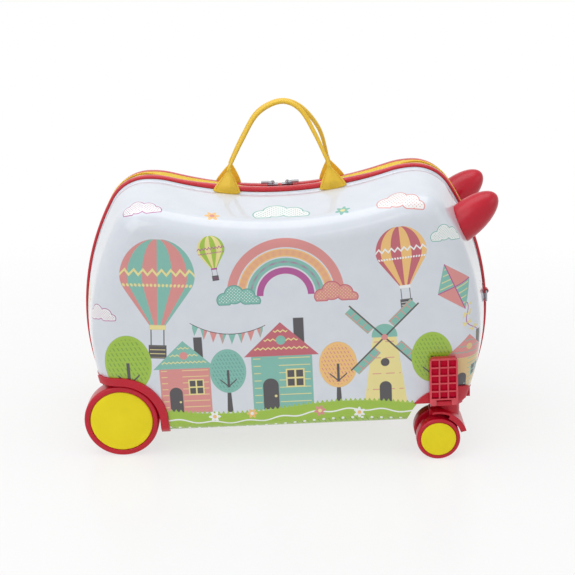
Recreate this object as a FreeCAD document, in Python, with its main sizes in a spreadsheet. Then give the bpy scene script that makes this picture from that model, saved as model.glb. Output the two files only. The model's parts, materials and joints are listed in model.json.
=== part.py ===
# A child's ride-on suitcase: two hard half shells zipped together, two fixed
# rear wheels, two swivelling casters, folding footrests, two horns and a pair
# of soft carry handles.
#
# Everything is modelled in the frame of the case (x forward, y to the far side,
# z up, y = 0 the zip plane). At the end the whole case is pitched nose-up until
# all its wheels touch the floor, as it stands in use.

import math
import os

import FreeCAD
import Part
import Sketcher

V = FreeCAD.Vector
os.makedirs("parts", exist_ok=True)
doc = FreeCAD.newDocument("ride_on_case")

# Driving dimensions, in millimetres and degrees.
DIMENSIONS = [
    ("shell_length", 465, "length of the rim at its widest"),
    ("belly_z", 29, "flat underside of the rim"),
    ("belly_draft", 1.5, "draft of the underside"),
    ("belly_round", 14, "rounding between underside and side face"),
    ("hump_setback", 82.5, "distance of each hump from its end"),
    ("hump_z", 310.5, "top of the humps"),
    ("saddle_z", 289, "lowest point of the saddle"),
    ("hump_radius", 100, "hump, on the saddle side"),
    ("shoulder_radius", 48, "hump, on the outer side"),
    ("widest_z", 140, "height of the widest place"),
    ("lower_side_radius", 240, "ends below the widest place"),
    ("belly_corner_radius", 50, "corner between end and belly"),
    ("half_width", 105, "zip plane to the side face"),
    ("face_round", 28, "rounding between wall and side face"),
    ("wall_draft", 13, "draft of the top and the ends"),
    ("shell_wall", 2, "sheet thickness of the shells"),
    ("rim_y", 18.5, "zip plane to the rim of a shell"),
    ("rim_inset", 2.5, "rim of the shell inside the binding"),
    ("neck_depth", 2.2, "groove behind the binding"),
    ("ridge_inset", 3.4, "ridge beside the groove"),
    ("neck_width", 5.5, "width of that groove"),
    ("binding_width", 8.5, "edge binding, across the case"),
    ("binding_depth", 3.4, "edge binding, inwards"),
    ("tape_inset", 3.7, "outer side of the zip tape"),
    ("tape_thickness", 1.0, "zip tape"),
    ("coil_width", 2.6, "one half of the zip's teeth"),
    ("coil_height", 1.9, "height of the teeth above the tape"),
    ("zip_gap", 0.4, "between the two halves of the teeth"),
    ("hinge_length", 262, "cloth hinge along the belly"),
    ("lining_gap", 2.6, "air between shell and lining"),
    ("lining_thickness", 0.8, "lining cloth"),
    ("seat_clearance", 0.2, "between pieces that rest on each other"),
    ("running_fit", 0.06, "radial play of turning pieces"),
    ("rear_axle_setback", 43, "rear axle from the rear end"),
    ("rear_axle_z", 50, "rear axle, height"),
    ("rear_wheel_radius", 42, "rear wheel"),
    ("rear_wheel_width", 23, "rear wheel"),
    ("rear_wheel_inset", 2, "outer side of the rear wheel inside the side face"),
    ("wheel_tread", 9, "rim of the rear wheel, radially"),
    ("wheel_hub_radius", 10, "hub of the rear wheel"),
    ("wheel_recess", 8, "hollow behind the rear wheel"),
    ("wheel_cap_radius", 35.3, "yellow disc of the rear wheel"),
    ("wheel_cap_depth", 2.4, "yellow disc of the rear wheel"),
    ("axle_radius", 4, "rear axle bolt"),
    ("axle_boss_radius", 11, "boss round the rear axle bolt"),
    ("bolt_head_radius", 8, "rear axle bolt"),
    ("bolt_head_height", 3, "rear axle bolt"),
    ("bolt_recess", 4.8, "room for the bolt head in the wheel"),
    ("arch_radius", 53.5, "wheel arch round the rear axle"),
    ("arch_wall", 3, "wall of the wheel housing"),
    ("arch_lip", 9, "outer lip of the wheel housing"),
    ("arch_lip_depth", 12, "outer lip of the wheel housing, across"),
    ("arch_proud", 2.5, "lip standing out of the shell"),
    ("housing_screw_reach", 36, "housing screws from the rear axle"),
    ("rear_pocket_depth", 39, "rear pocket, from the side face inwards"),
    ("front_arch_setback", 51.5, "middle of the front pocket from the front end"),
    ("front_arch_z", 22, "middle of the front pocket"),
    ("front_arch_radius", 52, "front pocket"),
    ("front_pocket_depth", 62, "front pocket, from the side face inwards"),
    ("bracket_z", 58, "underside of the caster bracket"),
    ("bracket_wall", 3, "walls of the caster bracket"),
    ("bracket_rib", 2.4, "ribs inside the caster bracket"),
    ("bracket_flange", 3, "flange of the bracket over the shell"),
    ("flange_thickness", 2.2, "flange of the bracket"),
    ("socket_z", 52, "lower end of the swivel socket"),
    ("socket_radius", 15.5, "swivel socket"),
    ("caster_axle_setback", 67, "axle of the caster wheels from the front end"),
    ("caster_axle_z", 16, "axle of the caster wheels, height"),
    ("caster_trail", 14, "swivel axis ahead of the caster axle"),
    ("caster_inset", 15, "swivel axis inside the side face"),
    ("caster_wheel_radius", 24.5, "caster wheels"),
    ("caster_wheel_width", 14.5, "caster wheels"),
    ("caster_web", 15, "body of the fork between the wheels"),
    ("caster_cap_radius", 20, "yellow discs of the caster wheels"),
    ("caster_cap_depth", 1.6, "yellow discs of the caster wheels"),
    ("caster_axle_radius", 2.5, "pin through the caster wheels"),
    ("hood_radius", 32.6, "hood of the fork"),
    ("hood_thickness", 2.4, "hood of the fork"),
    ("hood_low_angle", 15, "front end of the hood above the horizontal"),
    ("hood_high_angle", 102, "rear end of the hood above the horizontal"),
    ("hood_width", 42, "hood of the fork, across"),
    ("hood_lip", 6.6, "side lips and front end of the hood, radially"),
    ("hood_lip_angle", 64, "rear end of the side lips above the horizontal"),
    ("hood_end_angle", 20, "inner side of the front end above the horizontal"),
    ("stem_radius", 4.5, "swivel stem"),
    ("neck_radius", 12, "neck of the fork"),
    ("footrest_setback", 61, "middle of the footrest from the front end"),
    ("footrest_width", 31.6, "footrest, along the case"),
    ("footrest_height", 54, "footrest, above its hinge"),
    ("footrest_thickness", 7.6, "footrest"),
    ("footrest_axis_z", 60, "hinge of the footrest"),
    ("footrest_stand", 6.7, "hinge of the footrest outside the side face"),
    ("footrest_rib", 1.7, "ribs of the footrest"),
    ("footrest_floor", 2.2, "plate behind the ribs"),
    ("knuckle_width", 16, "knuckle between the footrest's ears"),
    ("hinge_pin_radius", 1.6, "footrest pin"),
    ("horn_z", 252.3, "middle of the horn's base"),
    ("horn_y", 55, "zip plane to the horn's axis"),
    ("horn_stand", 3.3, "middle of the horn's base outside the end wall"),
    ("horn_length", 45.5, "horn"),
    ("horn_radius", 20.5, "horn, in the side view"),
    ("horn_half_width", 19, "horn, across the case"),
    ("horn_angle", 39, "horn's axis above the belly's plane"),
    ("horn_screw_spread", 9.5, "horn screws above and below the middle"),
    ("tab_x", 60, "middle of a handle tab's base"),
    ("tab_width", 31, "handle tab at its base"),
    ("tab_tip_width", 6, "handle tab at its tip"),
    ("tab_thickness", 2.6, "handle tab"),
    ("tab_y", 20.6, "zip plane to the middle of a tab"),
    ("handle_x", 55.5, "ends of the handle's roll"),
    ("pivot_rise", 28, "pivot line of the handle above the saddle"),
    ("handle_rise", 70.5, "middle of the roll at its top above the pivot line"),
    ("handle_top_x", 5, "top of the roll"),
    ("handle_radius", 3, "rolled handle"),
    ("slider_length", 12.5, "zip slider"),
    ("slider_width", 9, "zip slider"),
    ("slider_height", 4.2, "zip slider"),
    ("slider_x", 8.5, "slider from the middle"),
    ("slider_eye", 1.4, "middle of the slider's eye above its body"),
    ("pull_length", 13, "zip pull"),
    ("pull_width", 6.8, "zip pull"),
    ("pull_wire", 1.5, "zip pull"),
    ("pull_proud", 0.2, "grip of the zip pull beyond its wire"),
    ("ring_radius", 5.8, "tow ring, to the middle of its wire"),
    ("ring_wire", 1.1, "tow ring wire, radius"),
    ("ring_z", 161, "tow ring's tab"),
    ("ring_y", 26, "zip plane to the tow ring"),
    ("ring_tab_radius", 2.9, "rolled tab of the tow ring"),
    ("ring_tab_length", 6.4, "rolled tab of the tow ring, across"),
    ("ring_tab_sheet", 1.6, "sheet of the rolled tab"),
    ("ring_tab_tail", 9, "flat end of the rolled tab above the ring"),
    ("ring_play", 0.5, "play of the tow ring in its tab"),
    ("ring_bend", 1.6, "tow ring wire at its corners, to the middle of the wire"),
    ("screw_radius", 1.5, "shank of the screws"),
    ("screw_head_radius", 3.2, "head of the screws"),
    ("screw_head_height", 1.7, "head of the screws"),
    ("screw_play", 0.3, "play of the screws in the sheet"),
    ("short_grip", 3, "reach of the housing and bracket screws"),
    ("long_grip", 7, "reach of the horn screws"),
]

# Places that follow from the ends, the side faces and the saddle.
PLACES = {
    "hump_x": "Dims.shell_length / 2 - Dims.hump_setback",
    "rear_axle_x": "Dims.rear_axle_setback - Dims.shell_length / 2",
    "rear_wheel_face": "Dims.half_width - Dims.rear_wheel_inset",
    "rear_pocket_y": "Dims.half_width - Dims.rear_pocket_depth",
    "front_arch_x": "Dims.shell_length / 2 - Dims.front_arch_setback",
    "front_pocket_y": "Dims.half_width - Dims.front_pocket_depth",
    "caster_axle_x": "Dims.shell_length / 2 - Dims.caster_axle_setback",
    "caster_y": "Dims.half_width - Dims.caster_inset",
    "footrest_x": "Dims.shell_length / 2 - Dims.footrest_setback",
    "footrest_axis_y": "Dims.half_width + Dims.footrest_stand",
    "handle_z": "Dims.saddle_z + Dims.pivot_rise",
}

sheet = doc.addObject("Spreadsheet::Sheet", "Dims")
for row, (alias, value, note) in enumerate(DIMENSIONS, start=1):
    sheet.set("A%d" % row, note)
    sheet.set("B%d" % row, str(value))
    sheet.setAlias("B%d" % row, alias)
doc.recompute()


def worth(text):
    """The value of an expression in the driving dimensions."""
    return float(sheet.evalExpression(text))


def size(alias):
    """One driving dimension, or a place worked out from several."""
    if alias in PLACES:
        return worth(PLACES[alias])
    return float(getattr(sheet, alias))


# Helpers for document objects whose sizes follow the sheet.

ALONG_Y = FreeCAD.Rotation(V(0, 0, 1), V(0, 1, 0))
ALONG_X = FreeCAD.Rotation(V(0, 0, 1), V(1, 0, 0))
UPRIGHT = FreeCAD.Rotation()


def primitive(kind, name, sizes, at, turn=UPRIGHT):
    """A Part primitive with its sizes bound to expressions."""
    thing = doc.addObject("Part::" + kind, name)
    for prop, text in sizes.items():
        thing.setExpression(prop, text)
    thing.Placement = FreeCAD.Placement(V(*at), turn)
    return thing


def rod(name, radius, length, start, turn=UPRIGHT):
    """A round bar from a start point along its turned z axis."""
    return primitive("Cylinder", name, {"Radius": radius, "Height": length}, start, turn)


def block(name, along_x, along_y, along_z, corner):
    """A box from its lowest corner."""
    sizes = {"Length": along_x, "Width": along_y, "Height": along_z}
    return primitive("Box", name, sizes, corner)


def fuse(name, things):
    """One solid from several touching ones."""
    joined = doc.addObject("Part::MultiFuse", name)
    joined.Shapes = things
    joined.Refine = True
    return joined


def cut(name, base, tool):
    """The base without the tool."""
    rest = doc.addObject("Part::Cut", name)
    rest.Base = base
    rest.Tool = tool
    rest.Refine = True
    return rest


def common(name, base, tool):
    """What two solids share."""
    shared = doc.addObject("Part::Common", name)
    shared.Base = base
    shared.Tool = tool
    shared.Refine = True
    return shared


def group(name, things):
    """Several separate solids kept as one piece."""
    together = doc.addObject("Part::Compound", name)
    together.Links = things
    return together


def feature(name, shape):
    """A piece or helper given directly by its shape."""
    thing = doc.addObject("Part::Feature", name)
    thing.Shape = shape
    return thing


def origin_plane(body, role):
    """One of the body's own base planes."""
    return [f for f in body.Origin.OriginFeatures if f.Role == role][0]


def outline_sketch(body, role, corners):
    """A closed sketch of straight lines whose corners are expressions."""
    sketch = body.newObject("Sketcher::SketchObject", body.Name + "_sketch")
    sketch.AttachmentSupport = [(origin_plane(body, role), "")]
    sketch.MapMode = "FlatFace"
    points = [V(worth(a), worth(b), 0) for a, b in corners]
    count = len(points)
    for i in range(count):
        sketch.addGeometry(Part.LineSegment(points[i], points[(i + 1) % count]), False)
    for i in range(count):
        sketch.addConstraint(Sketcher.Constraint("Coincident", i, 2, (i + 1) % count, 1))
    for i, (a, b) in enumerate(corners):
        k = sketch.addConstraint(Sketcher.Constraint("DistanceX", -1, 1, i, 1, points[i].x))
        sketch.setExpression("Constraints[%d]" % k, a)
        k = sketch.addConstraint(Sketcher.Constraint("DistanceY", -1, 1, i, 1, points[i].y))
        sketch.setExpression("Constraints[%d]" % k, b)
    return sketch


def turned(name, corners, at):
    """A body of revolution round the y direction; corners are (radius, y)."""
    body = doc.addObject("PartDesign::Body", name)
    sketch = outline_sketch(body, "XY_Plane", corners)
    spin = body.newObject("PartDesign::Revolution", name + "_revolution")
    spin.Profile = sketch
    spin.ReferenceAxis = (sketch, ["V_Axis"])
    spin.Angle = 360
    doc.recompute()
    body.Placement = FreeCAD.Placement(V(*at), UPRIGHT)
    return body


def padded(name, corners, depth, at):
    """A body padded from an outline in the x-z plane towards the near side (-y)."""
    body = doc.addObject("PartDesign::Body", name)
    sketch = outline_sketch(body, "XZ_Plane", corners)
    pad = body.newObject("PartDesign::Pad", name + "_pad")
    pad.Profile = sketch
    pad.setExpression("Length", depth)
    doc.recompute()
    body.Placement = FreeCAD.Placement(V(*at), UPRIGHT)
    return body


# The outline of the case is a chain of tangent arcs. Moving the whole outline
# inwards keeps the centres and only changes the radii.

def outline_centres():
    """Centres and radii of the arcs of the right half, from the sheet."""
    rise = size("hump_z") - size("saddle_z")
    both = (size("hump_x") ** 2 + rise ** 2) / (2 * rise)
    saddle = both - size("hump_radius")
    end = size("shell_length") / 2
    shoulder = size("shoulder_radius")
    run = end - size("hump_x")
    fall = size("hump_z") - shoulder - size("widest_z")
    upper = (run ** 2 + fall ** 2 - shoulder ** 2) / (2 * (run - shoulder))
    lower = size("lower_side_radius")
    return {
        "saddle": (0, size("saddle_z") + saddle, saddle),
        "hump": (size("hump_x"), size("hump_z") - size("hump_radius"), size("hump_radius")),
        "shoulder": (size("hump_x"), size("hump_z") - shoulder, shoulder),
        "upper": (end - upper, size("widest_z"), upper),
        "lower": (end - lower, size("widest_z"), lower),
    }


CENTRES = outline_centres()


def towards(start, goal, reach):
    """The point at a distance from one centre in the direction of another."""
    dx = goal[0] - start[0]
    dz = goal[1] - start[1]
    span = math.hypot(dx, dz)
    return (start[0] + dx / span * reach, start[1] + dz / span * reach)


def belly_corner(inset, belly_inset):
    """Centre and radius of the corner arc between an end and the belly line."""
    x, z, lower = CENTRES["lower"]
    radius = size("belly_corner_radius") - inset
    height = size("belly_z") + belly_inset + radius
    reach = lower - inset - radius
    return (x + math.sqrt(reach ** 2 - (z - height) ** 2), height, radius)


def bow(centre, radius, start, goal, side, y):
    """An arc of the outline; side -1 gives its mirror image at the rear."""
    middle = ((start[0] + goal[0]) / 2, (start[1] + goal[1]) / 2)
    top = towards(centre, middle, radius)
    points = [V(side * p[0], y, p[1]) for p in (start, top, goal)]
    return Part.Arc(*points).toShape()


def outline(inset, y, belly_inset=None):
    """The closed outline of the case, moved inwards, at one distance from the zip plane."""
    if belly_inset is None:
        belly_inset = inset
    c = CENTRES
    corner = belly_corner(inset, belly_inset)
    a = towards(c["saddle"], c["hump"], c["saddle"][2] + inset)
    b = (c["hump"][0], c["hump"][1] + c["hump"][2] - inset)
    d = towards(c["upper"], c["shoulder"], c["upper"][2] - inset)
    e = (c["upper"][0] + c["upper"][2] - inset, c["upper"][1])
    f = towards(c["lower"], corner, c["lower"][2] - inset)
    g = (corner[0], corner[1] - corner[2])
    chain = [
        (corner, corner[2], g, f),
        (c["lower"], c["lower"][2] - inset, f, e),
        (c["upper"], c["upper"][2] - inset, e, d),
        (c["shoulder"], c["shoulder"][2] - inset, d, b),
        (c["hump"], c["hump"][2] - inset, b, a),
    ]
    edges = [Part.makeLine(V(-g[0], y, g[1]), V(g[0], y, g[1]))]
    for centre, radius, start, goal in chain:
        edges.append(bow(centre, radius, start, goal, 1, y))
    dip = V(0, y, size("saddle_z") - inset)
    edges.append(Part.Arc(V(a[0], y, a[1]), dip, V(-a[0], y, a[1])).toShape())
    for centre, radius, start, goal in reversed(chain):
        edges.append(bow(centre, radius, goal, start, -1, y))
    return Part.Wire(edges)


def quarter_round(y, face, radius, offset):
    """How far a rounding has come in at a distance from the zip plane, moved inwards by the offset."""
    centre = face - radius
    smaller = radius - offset
    if y <= centre:
        return offset
    rise = min((y - centre) / smaller, 1.0)
    return radius - smaller * math.sqrt(1.0 - rise ** 2)


def wall_sections(offset):
    """(distance from the zip plane, inset, inset at the belly) down a wall, moved inwards by the offset."""
    rim = size("rim_y")
    deep = rim + size("neck_width")
    ridge = deep + size("neck_width")
    low = size("rim_inset")
    groove = low + size("neck_depth")
    crest = size("ridge_inset")
    face = size("half_width")
    turn = face - size("face_round")
    slope = math.tan(math.radians(size("wall_draft")))
    belly_slope = math.tan(math.radians(size("belly_draft")))
    rows = [
        (rim, low + offset, low + offset),
        (rim + 1.5, groove + offset, groove + offset),
        (deep - 1.5, groove + offset, groove + offset),
        (deep + 2.0, crest + 0.4 + offset, crest + 0.4 + offset),
        (ridge, crest + offset, crest + offset),
    ]
    steps = 10
    for i in range(steps + 1):
        y = turn + (size("face_round") - offset) * math.sin(math.radians(90 * i / steps))
        drop = crest + (turn - ridge) * slope
        belly_drop = crest + (min(y, face - size("belly_round")) - ridge) * belly_slope
        inset = drop + quarter_round(y, face, size("face_round"), offset)
        belly_inset = belly_drop + quarter_round(y, face, size("belly_round"), offset)
        rows.append((y, inset, belly_inset))
    return rows


def skin(offset, from_zip_plane):
    """The solid inside a near shell's outer skin, moved inwards by the offset."""
    rows = wall_sections(offset)
    if from_zip_plane:
        rows = [(0.0, rows[0][1], rows[0][2])] + rows
    wires = [outline(inset, -y, belly) for y, inset, belly in rows]
    return Part.makeLoft(wires, True, True)


def band(outer, inner, near, far):
    """A closed band round the case between two insets and two distances."""
    ring = Part.Face(outline(outer, -near)).extrude(V(0, near - far, 0))
    hole = Part.Face(outline(inner, -near)).extrude(V(0, near - far, 0))
    return ring.cut(hole)


def prism(edges, start_y, end_y):
    """A solid from a closed outline in the x-z plane between two distances."""
    face = Part.Face(Part.Wire(edges))
    solid = face.extrude(V(0, start_y - end_y, 0))
    solid.translate(V(0, -start_y, 0))
    return solid


def chain_of_lines(points):
    """Straight edges through points given as (x, z)."""
    corners = [V(x, 0, z) for x, z in points]
    return [Part.makeLine(p, q) for p, q in zip(corners, corners[1:])]


def rear_arch(radius, start_y, end_y):
    """The room under the rear wheel arch, open behind and below."""
    x = size("rear_axle_x")
    z = size("rear_axle_z")
    low = size("belly_z") - 60
    out = -size("shell_length") / 2 - 40
    slant = radius * math.sqrt(0.5)
    top = (x, z + radius)
    front = (x + radius, z)
    middle = V(x + slant, 0, z + slant)
    edges = [Part.Arc(V(front[0], 0, front[1]), middle, V(top[0], 0, top[1])).toShape()]
    edges += chain_of_lines([top, (out, top[1]), (out, low), (front[0], low), front])
    return prism(edges, start_y, end_y)


def front_arch(radius, start_y, end_y):
    """The room of the front pocket, open below."""
    x = size("front_arch_x")
    z = size("front_arch_z")
    low = size("belly_z") - 60
    edges = [Part.Arc(V(x + radius, 0, z), V(x, 0, z + radius), V(x - radius, 0, z)).toShape()]
    edges += chain_of_lines([(x - radius, z), (x - radius, low), (x + radius, low), (x + radius, z)])
    return prism(edges, start_y, end_y)


ROOM = 3 * size("shell_length")
OUTSIDE = size("half_width") + 30
CLEAR = size("seat_clearance")


def above(z):
    """All the room over a height."""
    return Part.makeBox(ROOM, ROOM, ROOM, V(-ROOM / 2, -ROOM / 2, z))


def between(near, far):
    """All the room between two distances on the near side."""
    return Part.makeBox(ROOM, far - near, ROOM, V(-ROOM / 2, -far, -ROOM / 2))

# Screws: each is (point on the wall, direction out of the case).
rear_wall = size("rear_pocket_y")
front_wall = size("front_pocket_y")
HOUSING_SCREWS = []
for angle in (-7, 47, 99):
    level = size("rear_axle_z") + size("housing_screw_reach") * math.sin(math.radians(angle))
    ahead = size("rear_axle_x") + size("housing_screw_reach") * math.cos(math.radians(angle))
    HOUSING_SCREWS.append((V(ahead, -rear_wall, level), V(0, -1, 0)))
BRACKET_SCREWS = [
    (V(size("front_arch_x") - 20, -front_wall, size("bracket_z") + 6), V(0, -1, 0)),
    (V(size("front_arch_x") + 18, -front_wall, size("bracket_z") + 6), V(0, -1, 0)),
]


def end_wall(y, z):
    """A point on the front end wall, over its widest place, and the way out of the case there."""
    x0, z0, radius = CENTRES["upper"]
    draft = math.radians(size("wall_draft"))
    ridge = size("rim_y") + 2 * size("neck_width")
    reach = radius - size("ridge_inset") - (y - ridge) * math.tan(draft)
    turn = math.asin((z - z0) / reach)
    place = V(x0 + reach * math.cos(turn), -y, z)
    out = V(math.cos(turn) * math.cos(draft), -math.sin(draft), math.sin(turn) * math.cos(draft))
    return place, out


HORN_SCREWS = [
    end_wall(size("horn_y"), size("horn_z") + side * size("horn_screw_spread")) for side in (-1, 1)
]


def screw(place, out, grip):
    """A screw from inside: the head under the sheet, the shank reaching out."""
    wall = size("shell_wall")
    seat = place - out * (wall + CLEAR)
    head = Part.makeCylinder(size("screw_head_radius"), size("screw_head_height"), seat, out * -1)
    shank = Part.makeCylinder(size("screw_radius"), wall + CLEAR + grip, seat, out)
    return head.fuse(shank).removeSplitter()


def screw_hole(place, out):
    """The hole a screw passes through in the sheet."""
    wall = size("shell_wall")
    radius = size("screw_radius") + size("screw_play")
    return Part.makeCylinder(radius, 4 * wall, place - out * 2 * wall, out)


def screws(name, places, grip):
    """The screws of one piece, as a group of separate solids."""
    made = [feature("%s_%d" % (name, i), screw(p, out, grip)) for i, (p, out) in enumerate(places)]
    return group(name, made)


# Near shell: one formed sheet with a pocket for the rear wheel and one for the caster.
OUTER = skin(0, False)
wall = size("shell_wall")
outside = OUTER.cut(rear_arch(size("arch_radius"), rear_wall, OUTSIDE))
outside = outside.cut(front_arch(size("front_arch_radius"), front_wall, OUTSIDE))
inside = skin(wall, True)
inside = inside.cut(rear_arch(size("arch_radius") + wall, rear_wall - wall, OUTSIDE))
inside = inside.cut(front_arch(size("front_arch_radius") + wall, front_wall - wall, OUTSIDE))
sheet_solid = outside.cut(inside)
for place, out in HOUSING_SCREWS + BRACKET_SCREWS + HORN_SCREWS:
    sheet_solid = sheet_solid.cut(screw_hole(place, out))
near_shell = feature("near_shell", sheet_solid.removeSplitter())

# Binding, zip tape and teeth follow the same outline.
binding_start = size("rim_y") - size("binding_width")
bead = size("binding_depth")
rounded = [
    (binding_start, 1.2),
    (binding_start + 1.2, 0.3),
    (binding_start + 3.0, 0.0),
    (size("rim_y") - 3.0, 0.0),
    (size("rim_y") - 1.2, 0.3),
    (size("rim_y") - CLEAR, 1.2),
]
bead_outside = Part.makeLoft([outline(inset, -y) for y, inset in rounded], True, True)
bead_inside = Part.Face(outline(bead, 0)).extrude(V(0, -60, 0))
near_edge_binding = feature("near_edge_binding", bead_outside.cut(bead_inside))

no_zip = Part.makeBox(
    size("hinge_length"), 200, 60, V(-size("hinge_length") / 2, -100, size("belly_z") - 30)
)
tape_in = size("tape_inset")
tape = band(tape_in, tape_in + size("tape_thickness"), 1.4, size("rim_y") - CLEAR)
near_zip_tape = feature("near_zip_tape", tape.cut(no_zip))
teeth_start = size("zip_gap") / 2
teeth = band(tape_in - size("coil_height"), tape_in - 0.1, teeth_start, teeth_start + size("coil_width"))
near_zip_teeth = feature("near_zip_teeth", teeth.cut(no_zip))

# The cloth hinge lies along the belly where the zip leaves off.
hinge_cloth = block(
    "hinge_cloth",
    "Dims.hinge_length - 1",
    "2 * Dims.rim_y - 2 * Dims.seat_clearance",
    "Dims.tape_thickness",
    (
        -size("hinge_length") / 2 + 0.5,
        -size("rim_y") + CLEAR,
        size("belly_z") + tape_in,
    ),
)

# Lining: cloth that hangs inside the shell, fixed along the rim.
def lining_skin(extra):
    """The solid inside the lining; it meets the sheet at the rim."""
    gap = wall + size("lining_gap") + extra
    rows = wall_sections(gap)
    rim = size("rim_y")
    seat = size("rim_inset") + size("neck_depth") + wall + CLEAR + extra
    rows[0] = (rim, seat, seat)
    rows[1] = (rim + 1.5, seat, seat)
    if extra:
        rows = [(0.0, seat, seat)] + rows
    return Part.makeLoft([outline(inset, -y, belly) for y, inset, belly in rows], True, True)


def lining_room(extra):
    """That solid without the room the two pockets take."""
    gap = wall + size("lining_gap") + extra
    room = lining_skin(extra)
    room = room.cut(rear_arch(size("arch_radius") + gap, rear_wall - gap, OUTSIDE))
    return room.cut(front_arch(size("front_arch_radius") + gap, front_wall - gap, OUTSIDE))


near_lining = feature("near_lining", lining_room(0).cut(lining_room(size("lining_thickness"))))

# Rear wheel housing: an arched lip outside, a thin wall inside and a back plate with the axle boss.
SNUG = 0.03
arch = size("arch_radius") - CLEAR
back = rear_wall + CLEAR
lip_start = size("half_width") - size("arch_lip_depth")
thin = rear_arch(arch, back, OUTSIDE)
thin = thin.cut(rear_arch(arch - size("arch_wall"), back - 1, OUTSIDE + 1))
lip = rear_arch(arch, lip_start, OUTSIDE)
lip = lip.cut(rear_arch(arch - size("arch_lip"), lip_start - 1, OUTSIDE + 1))
plate = rear_arch(arch - 1, back, back + size("arch_wall"))
plate = plate.common(above(size("rear_axle_z") - size("axle_boss_radius") - size("arch_wall")))
lip = lip.common(skin(-size("arch_proud"), False))
shape = thin.fuse(plate).common(OUTER).fuse(lip)
wheel_inner = size("rear_wheel_face") - size("rear_wheel_width")
boss_length = wheel_inner - back - 0.5
axle_start = V(size("rear_axle_x"), -back, size("rear_axle_z"))
boss = Part.makeCylinder(size("axle_boss_radius"), boss_length, axle_start, V(0, -1, 0))
shape = shape.common(above(size("belly_z") - 0.5)).fuse(boss)
axle_bore = Part.makeCylinder(
    size("axle_radius") + SNUG, boss_length + 2, axle_start + V(0, 1, 0), V(0, -1, 0)
)
near_wheel_housing = feature("near_wheel_housing", shape.cut(axle_bore).removeSplitter())
near_housing_screws = screws("near_housing_screws", HOUSING_SCREWS, size("short_grip"))

# Axle bolt: a shank through the boss and the wheel, with a head under the yellow disc.
head_y = size("rear_wheel_face") - size("wheel_cap_depth") - size("bolt_recess") + 0.3
shank = rod(
    "axle_shank", "Dims.axle_radius", "%f" % (head_y - back - 0.3),
    (size("rear_axle_x"), -head_y, size("rear_axle_z")), ALONG_Y,
)
bolt_head = rod(
    "axle_head", "Dims.bolt_head_radius", "Dims.bolt_head_height",
    (size("rear_axle_x"), -head_y - size("bolt_head_height"), size("rear_axle_z")), ALONG_Y,
)
near_axle_bolt = fuse("near_axle_bolt", [shank, bolt_head])

# Rear wheel: tyre and hub in one, hollow behind; y runs from the inner side (0) outwards (negative).
wheel_at = (size("rear_axle_x"), -wheel_inner, size("rear_axle_z"))
near_rear_wheel = turned("near_rear_wheel", [
    ("Dims.axle_radius + Dims.running_fit", "0"),
    ("Dims.wheel_hub_radius", "0"),
    ("Dims.wheel_hub_radius", "-Dims.wheel_recess"),
    ("Dims.rear_wheel_radius - Dims.wheel_tread", "-Dims.wheel_recess"),
    ("Dims.rear_wheel_radius - Dims.wheel_tread", "0"),
    ("Dims.rear_wheel_radius - 3", "0"),
    ("Dims.rear_wheel_radius - 0.8", "-1"),
    ("Dims.rear_wheel_radius", "-3.2"),
    ("Dims.rear_wheel_radius", "-Dims.rear_wheel_width + 4"),
    ("Dims.rear_wheel_radius - 0.8", "-Dims.rear_wheel_width + 1.4"),
    ("Dims.rear_wheel_radius - 3", "-Dims.rear_wheel_width"),
    ("Dims.wheel_cap_radius + 0.2", "-Dims.rear_wheel_width"),
    ("Dims.wheel_cap_radius + 0.2", "-Dims.rear_wheel_width + Dims.wheel_cap_depth"),
    ("Dims.bolt_head_radius + 1.5", "-Dims.rear_wheel_width + Dims.wheel_cap_depth"),
    ("Dims.bolt_head_radius + 1.5", "-Dims.rear_wheel_width + Dims.wheel_cap_depth + Dims.bolt_recess"),
    (
        "Dims.axle_radius + Dims.running_fit",
        "-Dims.rear_wheel_width + Dims.wheel_cap_depth + Dims.bolt_recess",
    ),
], wheel_at)

# Yellow disc pressed into the outer side of the wheel, slightly domed.
near_wheel_cap = turned("near_wheel_cap", [
    ("0", "-Dims.rear_wheel_width + Dims.wheel_cap_depth - 0.05"),
    ("Dims.wheel_cap_radius", "-Dims.rear_wheel_width + Dims.wheel_cap_depth - 0.05"),
    ("Dims.wheel_cap_radius", "-Dims.rear_wheel_width + 0.3"),
    ("Dims.wheel_cap_radius - 1.2", "-Dims.rear_wheel_width - 0.2"),
    ("Dims.wheel_cap_radius / 2", "-Dims.rear_wheel_width - 0.6"),
    ("0", "-Dims.rear_wheel_width - 0.8"),
], wheel_at)

# Front bracket: a hollow corner block in the pocket, a flange over the shell and the swivel socket.
stem_x = size("caster_axle_x") + size("caster_trail")
stem_y = -size("caster_y")
front = size("front_arch_radius") - CLEAR
low = above(size("bracket_z"))
front_back = front_wall + CLEAR
pocket = front_arch(front, front_back, OUTSIDE)
bracket_wall = size("bracket_wall")
plug = pocket.common(low)
room = front_arch(front - bracket_wall, front_back + bracket_wall, size("half_width") - 5)
room = room.common(Part.makeBox(ROOM, ROOM, ROOM, V(stem_x + 27.5 - ROOM, -ROOM / 2, 0)))
plug = plug.cut(room)
slant_start = stem_x + 14
slant = chain_of_lines([
    (slant_start, size("socket_z")),
    (slant_start + 56, size("socket_z")),
    (slant_start + 56, size("socket_z") + 62),
    (slant_start, size("socket_z")),
])
plug = plug.cut(prism(slant, 0, OUTSIDE))
on_shell = skin(-0.1, False)
flange = front_arch(size("front_arch_radius") + size("bracket_flange"), front_wall, OUTSIDE).common(low)
flange = flange.common(skin(-size("flange_thickness") - 0.1, False)).cut(on_shell)
flange = flange.common(between(size("half_width") - 9, OUTSIDE)).cut(prism(slant, 0, OUTSIDE))
bracket = plug.common(on_shell).fuse(flange)
roof = size("front_arch_z") + front - 1.5
socket_foot = V(stem_x, stem_y, size("socket_z"))
socket = Part.makeCylinder(size("socket_radius"), roof - size("socket_z"), socket_foot)
bowl_height = size("bracket_z") - size("socket_z") - 1
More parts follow.
